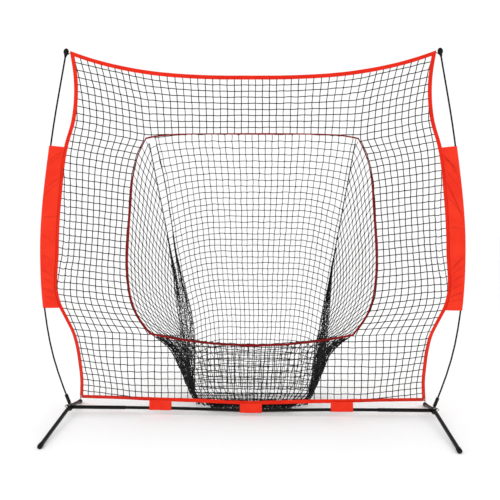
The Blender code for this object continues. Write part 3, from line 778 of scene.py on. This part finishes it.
class TARGETNET_OT_front_netting(bpy.types.Operator):
    """Tie the flat netting round the target opening"""
    bl_idname = "targetnet.front_netting"
    bl_label = "Front netting"

    def execute(self, context):
        net = context.scene.target_netting
        last_column = math.ceil(CORNER_COLUMN) + SIDE_COLUMNS + 1
        columns = [c + 0.5 for c in range(-last_column, last_column)]
        rows = list(range(len(ROW_HEIGHTS) - 1))

        def crossing(i, j):
            x, z = front_crossing(i, j)
            return on_net(x, z)

        def droop(middle):
            """Spare netting is bunched beside the sleeves, so the twines hang slack there."""
            from_border = side_tape_x(middle.z) - abs(middle.x)
            share = max(0.0, 1 - ((middle.z - 1.02) / 0.42) ** 2)
            return 0.0085 * share * math.exp(-(from_border / 0.085) ** 2)

        runs, tied = lattice(crossing, in_front_net, columns, rows, net.seed, droop=droop)
        piece = netting("front_netting", runs, tied, net.twine / 2, net.knot / 2, net.seed)
        keep_piece(piece, netting_twine, "black_netting", "front_net")
        return {"FINISHED"}


def pocket_profile():
    """The back wall's line from the opening's top down to the floor: distance along it against height."""
    stations, length = [], 0.0
    before = (0.0, OPENING_PEAK)
    for z in spread(OPENING_PEAK, POCKET_FLOOR_Z, 90):
        here = (pocket_back(z)[1], z)
        length += math.dist(before, here)
        stations.append((length, z))
        before = here
    return stations


PROFILE = pocket_profile()


def wall_height(length):
    """Height on the back wall this far along it from the opening's top."""
    i = min(bisect_right([s[0] for s in PROFILE], length), len(PROFILE) - 1)
    (l0, z0), (l1, z1) = PROFILE[i - 1], PROFILE[i]
    return z0 + (z1 - z0) * (length - l0) / max(1e-9, l1 - l0)


def back_point(u, length):
    """A point on the pocket's back wall. u is -1 at its left fold and 1 at its right fold."""
    level = wall_height(min(length, PROFILE[-1][0]))
    droop = (0.018 + 0.050 * min(1.0, max(0.0, (1.62 - level) / 0.35))) * min(1.0, level / 0.30)
    z = level - droop * max(0.0, (abs(u) - 0.45) / 0.55) ** 2
    z = max(POCKET_FLOOR_Z, z)
    half, depth = pocket_back(z)
    x = u * half + tuck_width(z) * (1 - u) / 2
    return Vector((x, NET_Y + max(RIM, depth), min(z, opening_top(min(abs(x), TOP_X)))))


def side_point(s, along, z):
    """A point on a side wall, this far from the wall's front edge."""
    z = max(POCKET_FLOOR_Z, z)
    xf, yf = pocket_front(z)
    xb, yb = pocket_back(z)
    front, back = Vector((s * xf, NET_Y + yf, z)), Vector((s * xb, NET_Y + max(RIM, yb), z))
    width = (back - front).length
    return between(front, back, min(1.0, along / max(width, 1e-6)))


def side_width(z):
    z = max(POCKET_FLOOR_Z, z)
    xf, yf = pocket_front(z)
    xb, yb = pocket_back(z)
    return math.hypot(xb - xf, max(RIM, yb) - yf)


def side_netting(s, net):
    """A side wall's netting, whose level twines fall towards the back."""
    def height(c, r):
        return SIDE_TOP - r * ROW_PITCH - SIDE_ROW_FALL * c * SIDE_PITCH

    def crossing(c, r):
        return side_point(s, c * SIDE_PITCH, height(c, r))

    def inside(c, r):
        z = height(c, r)
        return POCKET_FLOOR_Z <= z <= SIDE_TOP - 0.01 and 0 <= c * SIDE_PITCH <= side_width(z)

    return lattice(crossing, inside, list(range(-1, 20)), list(range(-18, 42)), net.seed + 20 + s)


def front_wall_point(u, down):
    """A point on the pocket's front wall, from the opening's lower edge to the floor."""
    top_z = opening_bottom(u * LOW_X)
    z = between(top_z, POCKET_FLOOR_Z, down)
    half, depth = pocket_front(min(z, LOW_Z))
    return Vector((u * half, NET_Y + depth, z))


def floor_point(u, share):
    """A point on the pocket's floor, from its front edge to the back wall."""
    xf, yf = pocket_front(POCKET_FLOOR_Z)
    xb, yb = pocket_back(POCKET_FLOOR_Z)
    return Vector((u * between(xf, xb, share), NET_Y + between(yf, yb, share), POCKET_FLOOR_Z))


class TARGETNET_OT_pocket_netting(bpy.types.Operator):
    """Tie the deep pocket that hangs behind the target opening"""
    bl_idname = "targetnet.pocket_netting"
    bl_label = "Pocket netting"

    def execute(self, context):
        net = context.scene.target_netting
        half = POCKET_COLUMNS / 2
        columns = [-half, *[c + 0.5 - half for c in range(POCKET_COLUMNS)], half]

        def panel(point, last_row, seed, slack):
            return lattice(lambda c, r: point(c / half, r),
                           lambda c, r: abs(c) <= half and 0 <= r <= last_row,
                           columns, list(range(int(last_row) + 1)), net.seed + seed, slack)

        back = panel(lambda u, r: back_point(u, r * ROW_PITCH), PROFILE[-1][0] / ROW_PITCH, 1, 0.0022)
        walls = [panel(lambda u, r: front_wall_point(u, r / FRONT_ROWS), FRONT_ROWS, 2, 0.0030),
                 panel(lambda u, r: floor_point(u, r / FLOOR_ROWS), FLOOR_ROWS, 3, 0.0015),
                 side_netting(-1, net), side_netting(1, net)]
        for name, panels in (("pocket_netting", [back]), ("pocket_walls", walls)):
            runs = [run for made, _ in panels for run in made]
            tied = [at for _, places in panels for at in places]
            piece = netting(name, runs, tied, net.pocket_twine / 2, net.knot / 2, net.seed)
            keep_piece(piece, netting_twine, "black_netting", "pocket_net")
        return {"FINISHED"}


# ---- the pocket's gathered corners: widths and shifts against height ------------------------------
tuck_width = smooth_line([(0.0, 0.0), (0.14, 0.012), (0.25, 0.026), (0.37, 0.040), (0.50, 0.046),
                          (0.60, 0.044), (0.70, 0.038), (0.85, 0.034), (1.00, 0.034), (1.15, 0.040),
                          (1.43, 0.047), (1.62, 0.040)])
fold_half = smooth_line([(0.0, 0.012), (0.14, 0.018), (0.25, 0.024), (0.37, 0.026), (0.60, 0.022),
                         (0.70, 0.017), (0.85, 0.009), (1.00, 0.002), (1.10, 0.0)])
single_half = smooth_line([(0.0, 0.012), (0.14, 0.020), (0.25, 0.032), (0.39, 0.032), (0.50, 0.026),
                           (0.64, 0.018), (0.73, 0.010), (0.85, 0.005), (1.00, 0.001)])
single_shift = smooth_line([(0.0, -0.004), (0.25, 0.004), (0.40, 0.010), (0.60, 0.008), (0.85, 0.0),
                            (1.00, 0.0)])
front_half = smooth_line([(0.0, 0.012), (0.07, 0.016), (0.14, 0.020), (0.265, 0.026), (0.395, 0.022),
                          (0.47, 0.012)])


def fold_line(s, z):
    half, depth = pocket_back(z)
    return Vector((s * half, NET_Y + max(RIM, depth), z))


def tucked(z, share=1.0, up=0.0, back=0.0):
    """A point across the left fold's tuck: 0 is at the fold and 1 at the tuck's inner edge."""
    return fold_line(-1, z + up) + Vector((share * tuck_width(z), back, 0))


def front_edge(s, z):
    """The middle of the bunch along the pocket's front edge, which gathers in near the floor."""
    xf, yf = pocket_front(z)
    pull = front_half(z) - 0.048 * max(0.0, 1 - z / 0.13)
    return Vector((s * (xf - pull), NET_Y + yf + 0.030, z))


def crumpled(line, half, heights, strands, tie_pitch, depth, rng):
    """Netting bunched along a line: wandering strands down it, short ties across it, and their knots.
    The line and its half width are functions of height, and the bunch is this deep."""
    runs, tied = [], []
    for k in range(strands):
        share = k / (strands - 1) * 2 - 1
        phase, layer = rng.uniform(0, 6.28), rng.uniform(-1, 0)
        run = []
        for z in heights:
            wander = share + 0.35 * math.sin(38 * z + phase) + rng.uniform(-0.15, 0.15)
            across = half(z) * max(-1.0, min(1.0, wander))
            run.append(line(z) + Vector((across, depth * (layer + rng.uniform(-0.15, 0.15)), 0)))
        runs.append(run)
        tied += run[k % 2::2]
    for z in spread(heights[0], heights[-1], max(2, round((heights[0] - heights[-1]) / tie_pitch))):
        tilt = rng.uniform(-0.009, 0.009)
        runs.append([line(z) + Vector((half(z) * across, depth * rng.uniform(-1, 0),
                                       tilt * across + rng.uniform(-0.003, 0.003)))
                     for across in (-1.0, -0.5, 0.0, 0.5, 1.0)])
    for run in runs:
        for p in run:
            p.z = max(POCKET_FLOOR_Z, p.z)
    return runs, tied


# Side, middle line, half width, top, levels, strands, distance between ties, depth.
BUNCHES = [(-1, lambda z: fold_line(-1, z), fold_half, 1.06, 70, 9, 0.011, 0.030),
           (-1, tucked, fold_half, 1.06, 70, 9, 0.011, 0.030),
           (-1, lambda z: front_edge(-1, z), front_half, 0.462, 36, 9, 0.012, 0.030),
           (1, lambda z: fold_line(1, z) + Vector((single_shift(z), 0, 0)), single_half, 0.98, 70, 19, 0.009,
            0.035),
           (1, lambda z: front_edge(1, z), front_half, 0.462, 36, 9, 0.012, 0.030)]


class TARGETNET_OT_pocket_gathers(bpy.types.Operator):
    """Gather the pocket's corners: doubled twine along the folds, and bunches that widen downward"""
    bl_idname = "targetnet.pocket_gathers"
    bl_label = "Pocket gathers"

    def execute(self, context):
        net = context.scene.target_netting
        rng = random.Random(net.seed + 40)
        down = spread(1.600, 0.60, 40)
        heavy = [[fold_line(-1, z) for z in down], [tucked(z, back=0.004) for z in down],
                 [fold_line(1, z) for z in down]]
        ties = [[fold_line(-1, z), tucked(z, 0.5, 0.012, 0.004), tucked(z, 1.0, 0.018, 0.004)]
                for z in spread(1.57, 0.7, 22)]
        bunches = [(ties, [tie[1] for tie in ties])]
        for _, s in SIDES:
            for side, line, half, top, levels, strands, pitch, depth in BUNCHES:
                if side == s:
                    heights = spread(top, POCKET_FLOOR_Z, levels)
                    bunches.append(crumpled(line, half, heights, strands, pitch, depth, rng))
            bunches.append(self.lower_side(s, rng))
        bunches.append(self.floor_heap(rng))
        runs = [run for bunch in bunches for run in bunch[0]]
        tied = [at for bunch in bunches for at in bunch[1]]
        doubled = cords("fold_twine", heavy, net.pocket_twine * 0.8, sides=6)
        gathered = netting("gathers", runs, tied, net.pocket_twine * 0.41, net.knot * 0.36, net.seed + 5)
        piece = merge("pocket_gathers", [doubled, gathered])
        keep_piece(piece, netting_twine, "black_netting", "pocket_net")
        return {"FINISHED"}

    def lower_side(self, s, rng):
        """The slack side wall between the front edge and the fold, below the opening."""
        runs, tied = [], []
        for k in range(1, 8):
            run = []
            for z in spread(0.44 - 0.05 * rng.random(), POCKET_FLOOR_Z, 30):
                share = k / 8 + rng.uniform(-0.03, 0.03)
                sway = Vector((0, rng.uniform(-0.008, 0.008), 0))
                run.append(side_point(s, share * side_width(z), z) + sway)
            runs.append(run)
            tied += run[k % 2::2]
        for z in spread(0.43, 0.02, 17):
            runs.append([side_point(s, share * side_width(z), z + 0.02 * math.sin(5 * share + z * 60)
                                    + rng.uniform(-0.004, 0.004)) for share in spread(0, 1, 9)])
        return runs, tied

    def floor_heap(self, rng):
        """Slack netting that lies in a low heap at the front of the pocket's floor."""
        runs, tied = [], []
        for k in range(34):
            back = 0.075 + 0.150 * k / 33
            reach = between(0.232, 0.292, k / 33)
            top = 0.030 * math.sin(math.pi * (0.30 + 0.60 * k / 33)) ** 0.6
            phase = rng.uniform(0, 6.28)
            run = [Vector((x, NET_Y + back + 0.008 * math.sin(31 * x + phase) + rng.uniform(-0.003, 0.003),
                           POCKET_FLOOR_Z + max(0.0, top) * rng.random()))
                   for x in spread(-reach + rng.uniform(-0.01, 0.01), reach + rng.uniform(-0.01, 0.01), 44)]
            runs.append(run)
            tied += run[k % 3::3]
        for k in range(110):
            x = rng.uniform(-0.235, 0.235)
            start = 0.080 + 0.06 * rng.random()
            runs.append([Vector((x + rng.uniform(-0.006, 0.006), NET_Y + start + 0.022 * i,
                                 POCKET_FLOOR_Z + 0.025 * rng.random())) for i in range(4)])
        return runs, tied


def side_rail(offset):
    """The right side border's line at an offset, as (x, z), from the bottom border to the top border."""
    low, high = CORNER[2], 2.112
    for _ in range(20):
        high = top_tape_height(side_tape_x(high) + offset) - TAPE_HALF
        low = bottom_tape_height(side_tape_x(low) + offset) + TAPE_HALF
    return [(side_tape_x(z) + offset, z) for z in spread(low, high, 90)]


class TARGETNET_OT_border_webbing(bpy.types.Operator):
    """Fold and sew the red webbing round the net's edge"""
    bl_idname = "targetnet.border_webbing"
    bl_label = "Border webbing"

    def execute(self, context):
        cloth = context.scene.target_cloth
        thick = cloth.webbing_thickness
        offsets = spread(-TAPE_HALF, TAPE_HALF, 5)
        for name, height, end in (("top", top_tape_height, TOP_CORNER_X + TAPE_HALF),
                                  ("bottom", bottom_tape_height, CORNER[0] + TAPE_HALF)):
            xs = spread(-end, end, 160)
            rails = [[on_net(x, height(x) + h) for x in xs] for h in offsets]
            self.tape(name, rails, thick, cloth.stitch_pitch, -1 if name == "top" else 1)
        for name, s in SIDES:
            rails = [[on_net(s * x, z) for x, z in side_rail(offset)] for offset in offsets]
            self.tape(name, rails, thick, cloth.stitch_pitch, -1)
        return {"FINISHED"}

    def tape(self, name, rails, thick, pitch, inner):
        """One piece of webbing, with a stitch line near the edge on the net's side, front and back."""
        rng = random.Random(name)
        phase = rng.uniform(0, 6)
        size = 0.35 if name in ("left", "right") else 1.0      # the sleeves hold the side pieces flat
        for k, rail in enumerate(rails):
            for i, p in enumerate(rail):
                wave = 0.0012 * math.sin(i * 0.23 + phase) + 0.0008 * math.sin(i * 0.61 + 2 * phase + k)
                p.y += size * wave if 3 < i < len(rail) - 4 else 0.0
        tape = strip(f"webbing_{name}", rails, thick, bevel=0.0007)
        seam_rail = rails[0] if inner < 0 else rails[-1]
        next_rail = rails[1] if inner < 0 else rails[-2]
        seams = []
        for side, facing in (("front", Vector((0, -1, 0))), ("back", Vector((0, 1, 0)))):
            line = [between(a, b, 0.55) + facing * (thick / 2) for a, b in zip(seam_rail, next_rail)]
            seams.append(stitches(f"stitches_{name}_{side}", line, pitch, facing))
        seam = merge(f"webbing_stitches_{name}", seams)
        keep_piece(tape, red_webbing, "red_webbing", f"border_tape_{name}")
        keep_piece(seam, sewing_thread, "red_webbing")


class TARGETNET_OT_piping(bpy.types.Operator):
    """Lay the dark red piping round the target opening"""
    bl_idname = "targetnet.piping"
    bl_label = "Opening piping"

    def execute(self, context):
        outline = opening_outline(60, 60)
        side_size = smooth_line([(0.48, 1.25), (0.70, 1.20), (0.95, 1.40), (1.20, 1.38), (1.36, 1.10),
                                 (1.50, 0.60), (1.60, 0.70), (1.64, 0.80)])
        rng = random.Random(31)
        taper, points = [], []
        for x, z in outline:
            across = abs(x) / TOP_X
            if z > TOP_Z - 0.001:
                size = 0.88 + 0.16 * math.sin(x * 9 + 1.0)
            elif z > LOW_Z:
                size = side_size(z)
            else:
                size = 1.42 - 0.15 * across
            taper.append(size + rng.uniform(-0.04, 0.04))
            points.append(Vector((x, NET_Y + rng.uniform(-0.0008, 0.0008), z)))
        piece = cords("piping", [points], 0.0048, sides=10, closed=True, taper=taper)
        select_only(piece)
        bpy.ops.object.shade_smooth()
        keep_piece(piece, piping_tape, "dark_red_piping", "opening_piping")
        return {"FINISHED"}


# Drag lines in the sleeves: height at the border, height at the pole, depth from 0 to 1, half width. The
# depth also sets the shade painted into each crease.
CREASES = {
    "left": [(1.552, 1.491, 0.55, 0.007), (1.530, 1.468, 0.45, 0.006), (1.399, 1.330, 0.50, 0.008),
             (1.368, 1.298, 0.40, 0.007), (1.168, 1.166, 0.60, 0.005), (1.012, 1.068, 0.30, 0.008),
             (0.905, 0.948, 0.35, 0.007), (0.812, 0.868, 0.60, 0.007), (0.772, 0.815, 0.45, 0.006),
             (0.722, 0.752, 0.60, 0.007), (0.684, 0.706, 0.45, 0.006)],
    "right": [(1.545, 1.400, 1.00, 0.006), (1.528, 1.440, 0.70, 0.005), (1.385, 1.160, 0.95, 0.007),
              (1.300, 1.180, 0.55, 0.008), (1.452, 1.330, 0.40, 0.008), (1.118, 1.104, 0.45, 0.006),
              (0.866, 0.950, 1.00, 0.006), (0.835, 0.896, 0.55, 0.006), (0.796, 0.842, 0.65, 0.006),
              (0.752, 0.790, 0.55, 0.006), (0.710, 0.742, 0.80, 0.006), (0.680, 0.700, 0.50, 0.005)],
}
SLEEVE_PANEL = 21                          # points across a sleeve, from the border to the pole


def crease(side, share, z):
    """How far the sleeve's cloth stands out, and how deep in a crease it lies, at one place. The depth paints
    shade into the cloth's colour.
    """
    out, deep = 0.0, 0.0
    for at_border, at_pole, depth, half in CREASES[side]:
        line = between(at_border, at_pole, share) + 0.006 * math.sin(math.pi * share)
        away = (z - line) / half
        out += depth * (0.8 * math.exp(-((away - 1.9) / 1.5) ** 2) - math.exp(-away ** 2))
        deep += depth * math.exp(-(away / 0.75) ** 2) * math.sin(math.pi * min(max(share, 0.0), 1.0)) ** 0.4
    return out, min(deep, 1.0)


def sleeve_section(z, side, s, cloth):
    """One level of a pole sleeve: from the border, round the pole and back. Gives its points and folds, the
    crease depths that paint shade into the cloth's colour.
    """
    x_pole = pole_x(z)
    x_in = side_tape_x(z) + TAPE_HALF - 0.0045
    wrap = [math.radians(a) for a in (-100, -75, -50, -25, 0, 25, 50, 75, 100)]
    ring = [(x_pole + 0.0086 * math.cos(a), 0.0086 * math.sin(a)) for a in wrap]
    front = [(between(x_in, ring[0][0], t), between(-0.0030, ring[0][1], t))
             for t in spread(0, 1, SLEEVE_PANEL)]
    back = [(x, -y) for x, y in reversed(front)]
    points, folds = [], []
    for x, y in front + ring[1:-1] + back:
        share = (x - x_in) / max(0.001, x_pole - x_in)
        swing = math.sin(math.pi * min(1.0, max(0.0, share))) ** 0.7
        out, deep = crease(side, share, z if y < 0 else 2.22 - z)
        stand = swing * (0.0035 + out * cloth.wrinkle)
        dip = 0.008 * (1 - share) * max(0.0, (z - 1.45) / 0.135)
        points.append(Vector((s * x, NET_Y + y + math.copysign(stand, y), z - dip)))
        # Crease depth, for the painted shade in the sleeve's colour.
        folds.append(deep)
    return points, folds


class TARGETNET_OT_pole_sleeves(bpy.types.Operator):
    """Sew the red sleeves that slip over the poles"""
    bl_idname = "targetnet.pole_sleeves"
    bl_label = "Pole sleeves"

    def execute(self, context):
        cloth = context.scene.target_cloth
        heights = spread(SLEEVE_LOW, SLEEVE_HIGH, 270)
        for name, s in SIDES:
            made = [sleeve_section(z, name, s, cloth) for z in heights]
            rows = [points for points, _ in made]
            across = range(len(rows[0]))
            sleeve = strip(f"sleeve_{name}", [[row[k] for row in rows] for k in across], cloth.sleeve_cloth,
                           bevel=0.0, folds=[[folds[k] for _, folds in made] for k in across])
            hems = []
            lift = cloth.sleeve_cloth / 2
            for z in (SLEEVE_LOW + 0.014, SLEEVE_HIGH - 0.014):
                line = rows[min(range(len(heights)), key=lambda i: abs(heights[i] - z))]
                for side, facing in ((line[:SLEEVE_PANEL], -1), (line[-SLEEVE_PANEL:], 1)):
                    out = Vector((0, facing, 0))
                    hems.append(stitches("hem", [p + out * lift for p in side], cloth.stitch_pitch, out))
            for k, facing in ((2, -1), (SLEEVE_PANEL - 2, -1), (-3, 1), (1 - SLEEVE_PANEL, 1)):
                out = Vector((0, facing, 0))
                line = [row[k] + out * lift for row in rows]
                hems.append(stitches("casing", line, cloth.stitch_pitch, out))
            seam = merge(f"sleeve_stitches_{name}", hems)
            keep_piece(sleeve, red_sleeve_cloth, "red_fabric", f"pole_sleeve_{name}")
            keep_piece(seam, sewing_thread, "red_fabric")
        return {"FINISHED"}


class TARGETNET_OT_crossbar_straps(bpy.types.Operator):
    """Wrap the red straps round the crossbar"""
    bl_idname = "targetnet.crossbar_straps"
    bl_label = "Crossbar straps"

    def execute(self, context):
        for name, middle in (("left", -0.535), ("centre", 0.0), ("right", 0.535)):
            xs = spread(middle - 0.065, middle + 0.065, 14)
            rails = []
            rng = random.Random(name)
            phase = rng.uniform(0, 6)
            for x in xs:
                ripple = 0.0010 * math.sin(70 * (x - middle) + phase)
                radius = BAR_TUBE_R + 0.0026 + ripple * 0.4
                z_bar = bar_height(x)
                top = bottom_tape_height(x) - 0.004
                wrap = [(radius * math.cos(math.radians(a)), z_bar + radius * math.sin(math.radians(a)))
                        for a in range(-195, 16, 15)]
                front = [(between(-0.0030, wrap[0][0], t) - 0.0012 * math.sin(math.pi * t) - ripple,
                          between(top, wrap[0][1], t)) for t in spread(0, 1, 6)][:-1]
                back = [(between(wrap[-1][0], 0.0030, t) + 0.0012 * math.sin(math.pi * t),
                         between(wrap[-1][1], top, t)) for t in spread(0, 1, 6)][1:]
                rails.append([Vector((x, NET_Y + y, z)) for y, z in front + wrap + back])
            strap = strip(f"strap_{name}", rails, 0.0014, bevel=0.0)
            line = [rail[0] + Vector((0, -0.0010, -0.004)) for rail in rails]
            seam = stitches(f"strap_stitches_{name}", line, 0.005, Vector((0, -1, 0)))
            keep_piece(strap, red_sleeve_cloth, "red_fabric", f"crossbar_strap_{name}")
            keep_piece(seam, sewing_thread, "red_fabric")
        return {"FINISHED"}


class TARGETNET_OT_corner_loops(bpy.types.Operator):
    """Tie the elastic loops at the net's upper corners round the poles' caps"""
    bl_idname = "targetnet.corner_loops"
    bl_label = "Corner loops"

    def execute(self, context):
        for name, s in SIDES:
            centre = Vector((s * 1.0745, NET_Y, 2.1008))
            corner_x = TOP_CORNER_X + TAPE_HALF
            corner = Vector((s * corner_x, NET_Y, top_tape_height(corner_x)))
            inboard = (corner - centre).normalized()
            ring = [centre - inboard * 0.0098 * math.cos(a) + Vector((0, 0.0098 * math.sin(a), 0))
                    for a in [math.radians(d) for d in range(-130, 131, 10)]]
            points = ring + [between(ring[-1], corner, 0.6), corner + Vector((0, 0.0022, 0)),
                             corner - inboard * -0.003, corner + Vector((0, -0.0022, 0)),
                             between(ring[0], corner, 0.6)]
            loop = cords(f"loop_{name}", [points], 0.0014, sides=8, closed=True)
            knot = knots("tie", [between(centre, corner, 0.62)], 0.0034, 3)
            select_only(knot)
            smooth = knot.modifiers.new("round", "SUBSURF")
            smooth.levels = smooth.render_levels = 2
            apply_modifiers(knot)
            piece = merge(f"corner_cord_{name}", [loop, knot])
            select_only(piece)
            bpy.ops.object.shade_smooth()
            keep_piece(piece, elastic_cord, "black_cord", f"corner_loop_{name}")
        return {"FINISHED"}


class TARGETNET_OT_button_springs(bpy.types.Operator):
    """Bend the V springs inside the crossbar, which give way when a button is pressed"""
    bl_idname = "targetnet.button_springs"
    bl_label = "Button springs"

    def execute(self, context):
        for name, s in SIDES:
            low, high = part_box(f"bar_spring_{name}")
            button_low, button_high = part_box(f"bar_button_{name}")
            middle = (button_low + button_high) / 2
            bar_z = high.z - 0.0071
            leaf = [(0.004, -0.0046), (-0.010, -0.0040), (-0.022, -0.0014), (-0.030, 0.0005),
                    (-0.034, 0.0018), (-0.036, 0.0040), (-0.034, 0.0058), (-0.030, 0.0066),
                    (-0.010, 0.0068), (0.004, 0.0068)]
            rails = [[Vector((middle.x + s * x, y, bar_z + z)) for x, z in leaf] for y in (low.y, high.y)]
            spring = strip(f"button_spring_{name}", rails, 0.0005, bevel=0.0001)
            keep_piece(spring, zinc_plate, "zinc_plate", f"bar_spring_{name}")
            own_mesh(spring)
        return {"FINISHED"}


class TARGETNET_PT_panel(bpy.types.Panel):
    """The steps that build the target net, in order"""
    bl_idname = "TARGETNET_PT_panel"
    bl_label = "Target net"
    bl_space_type = "VIEW_3D"
    bl_region_type = "UI"
    bl_category = "Target net"

    def draw(self, context):
        for name in GROUPS:
            box = self.layout.box()
            for key in GROUPS[name].__annotations__:
                box.prop(getattr(context.scene, name), key)
        for step in STEPS:
            self.layout.operator(step.bl_idname)


STEPS = (TARGETNET_OT_stage, TARGETNET_OT_finishes, TARGETNET_OT_front_netting, TARGETNET_OT_pocket_netting,
         TARGETNET_OT_pocket_gathers, TARGETNET_OT_border_webbing, TARGETNET_OT_piping,
         TARGETNET_OT_pole_sleeves, TARGETNET_OT_crossbar_straps, TARGETNET_OT_corner_loops,
         TARGETNET_OT_button_springs)
GROUPS = {"target_netting": NetProperties, "target_cloth": ClothProperties, "target_tones": ToneProperties,
          "target_stage": StageProperties}
CLASSES = (*GROUPS.values(), *STEPS, TARGETNET_PT_panel)


def register():
    for cls in CLASSES:
        bpy.utils.register_class(cls)
    for name, group in GROUPS.items():
        setattr(bpy.types.Scene, name, PointerProperty(type=group))


def unregister():
    for name in GROUPS:
        delattr(bpy.types.Scene, name)
    for cls in reversed(CLASSES):
        bpy.utils.unregister_class(cls)


def main():
    register()
    deselect()
    for step in STEPS:
        group, name = step.bl_idname.split(".")
        getattr(getattr(bpy.ops, group), name)()


if __name__ == "__main__":
    main()
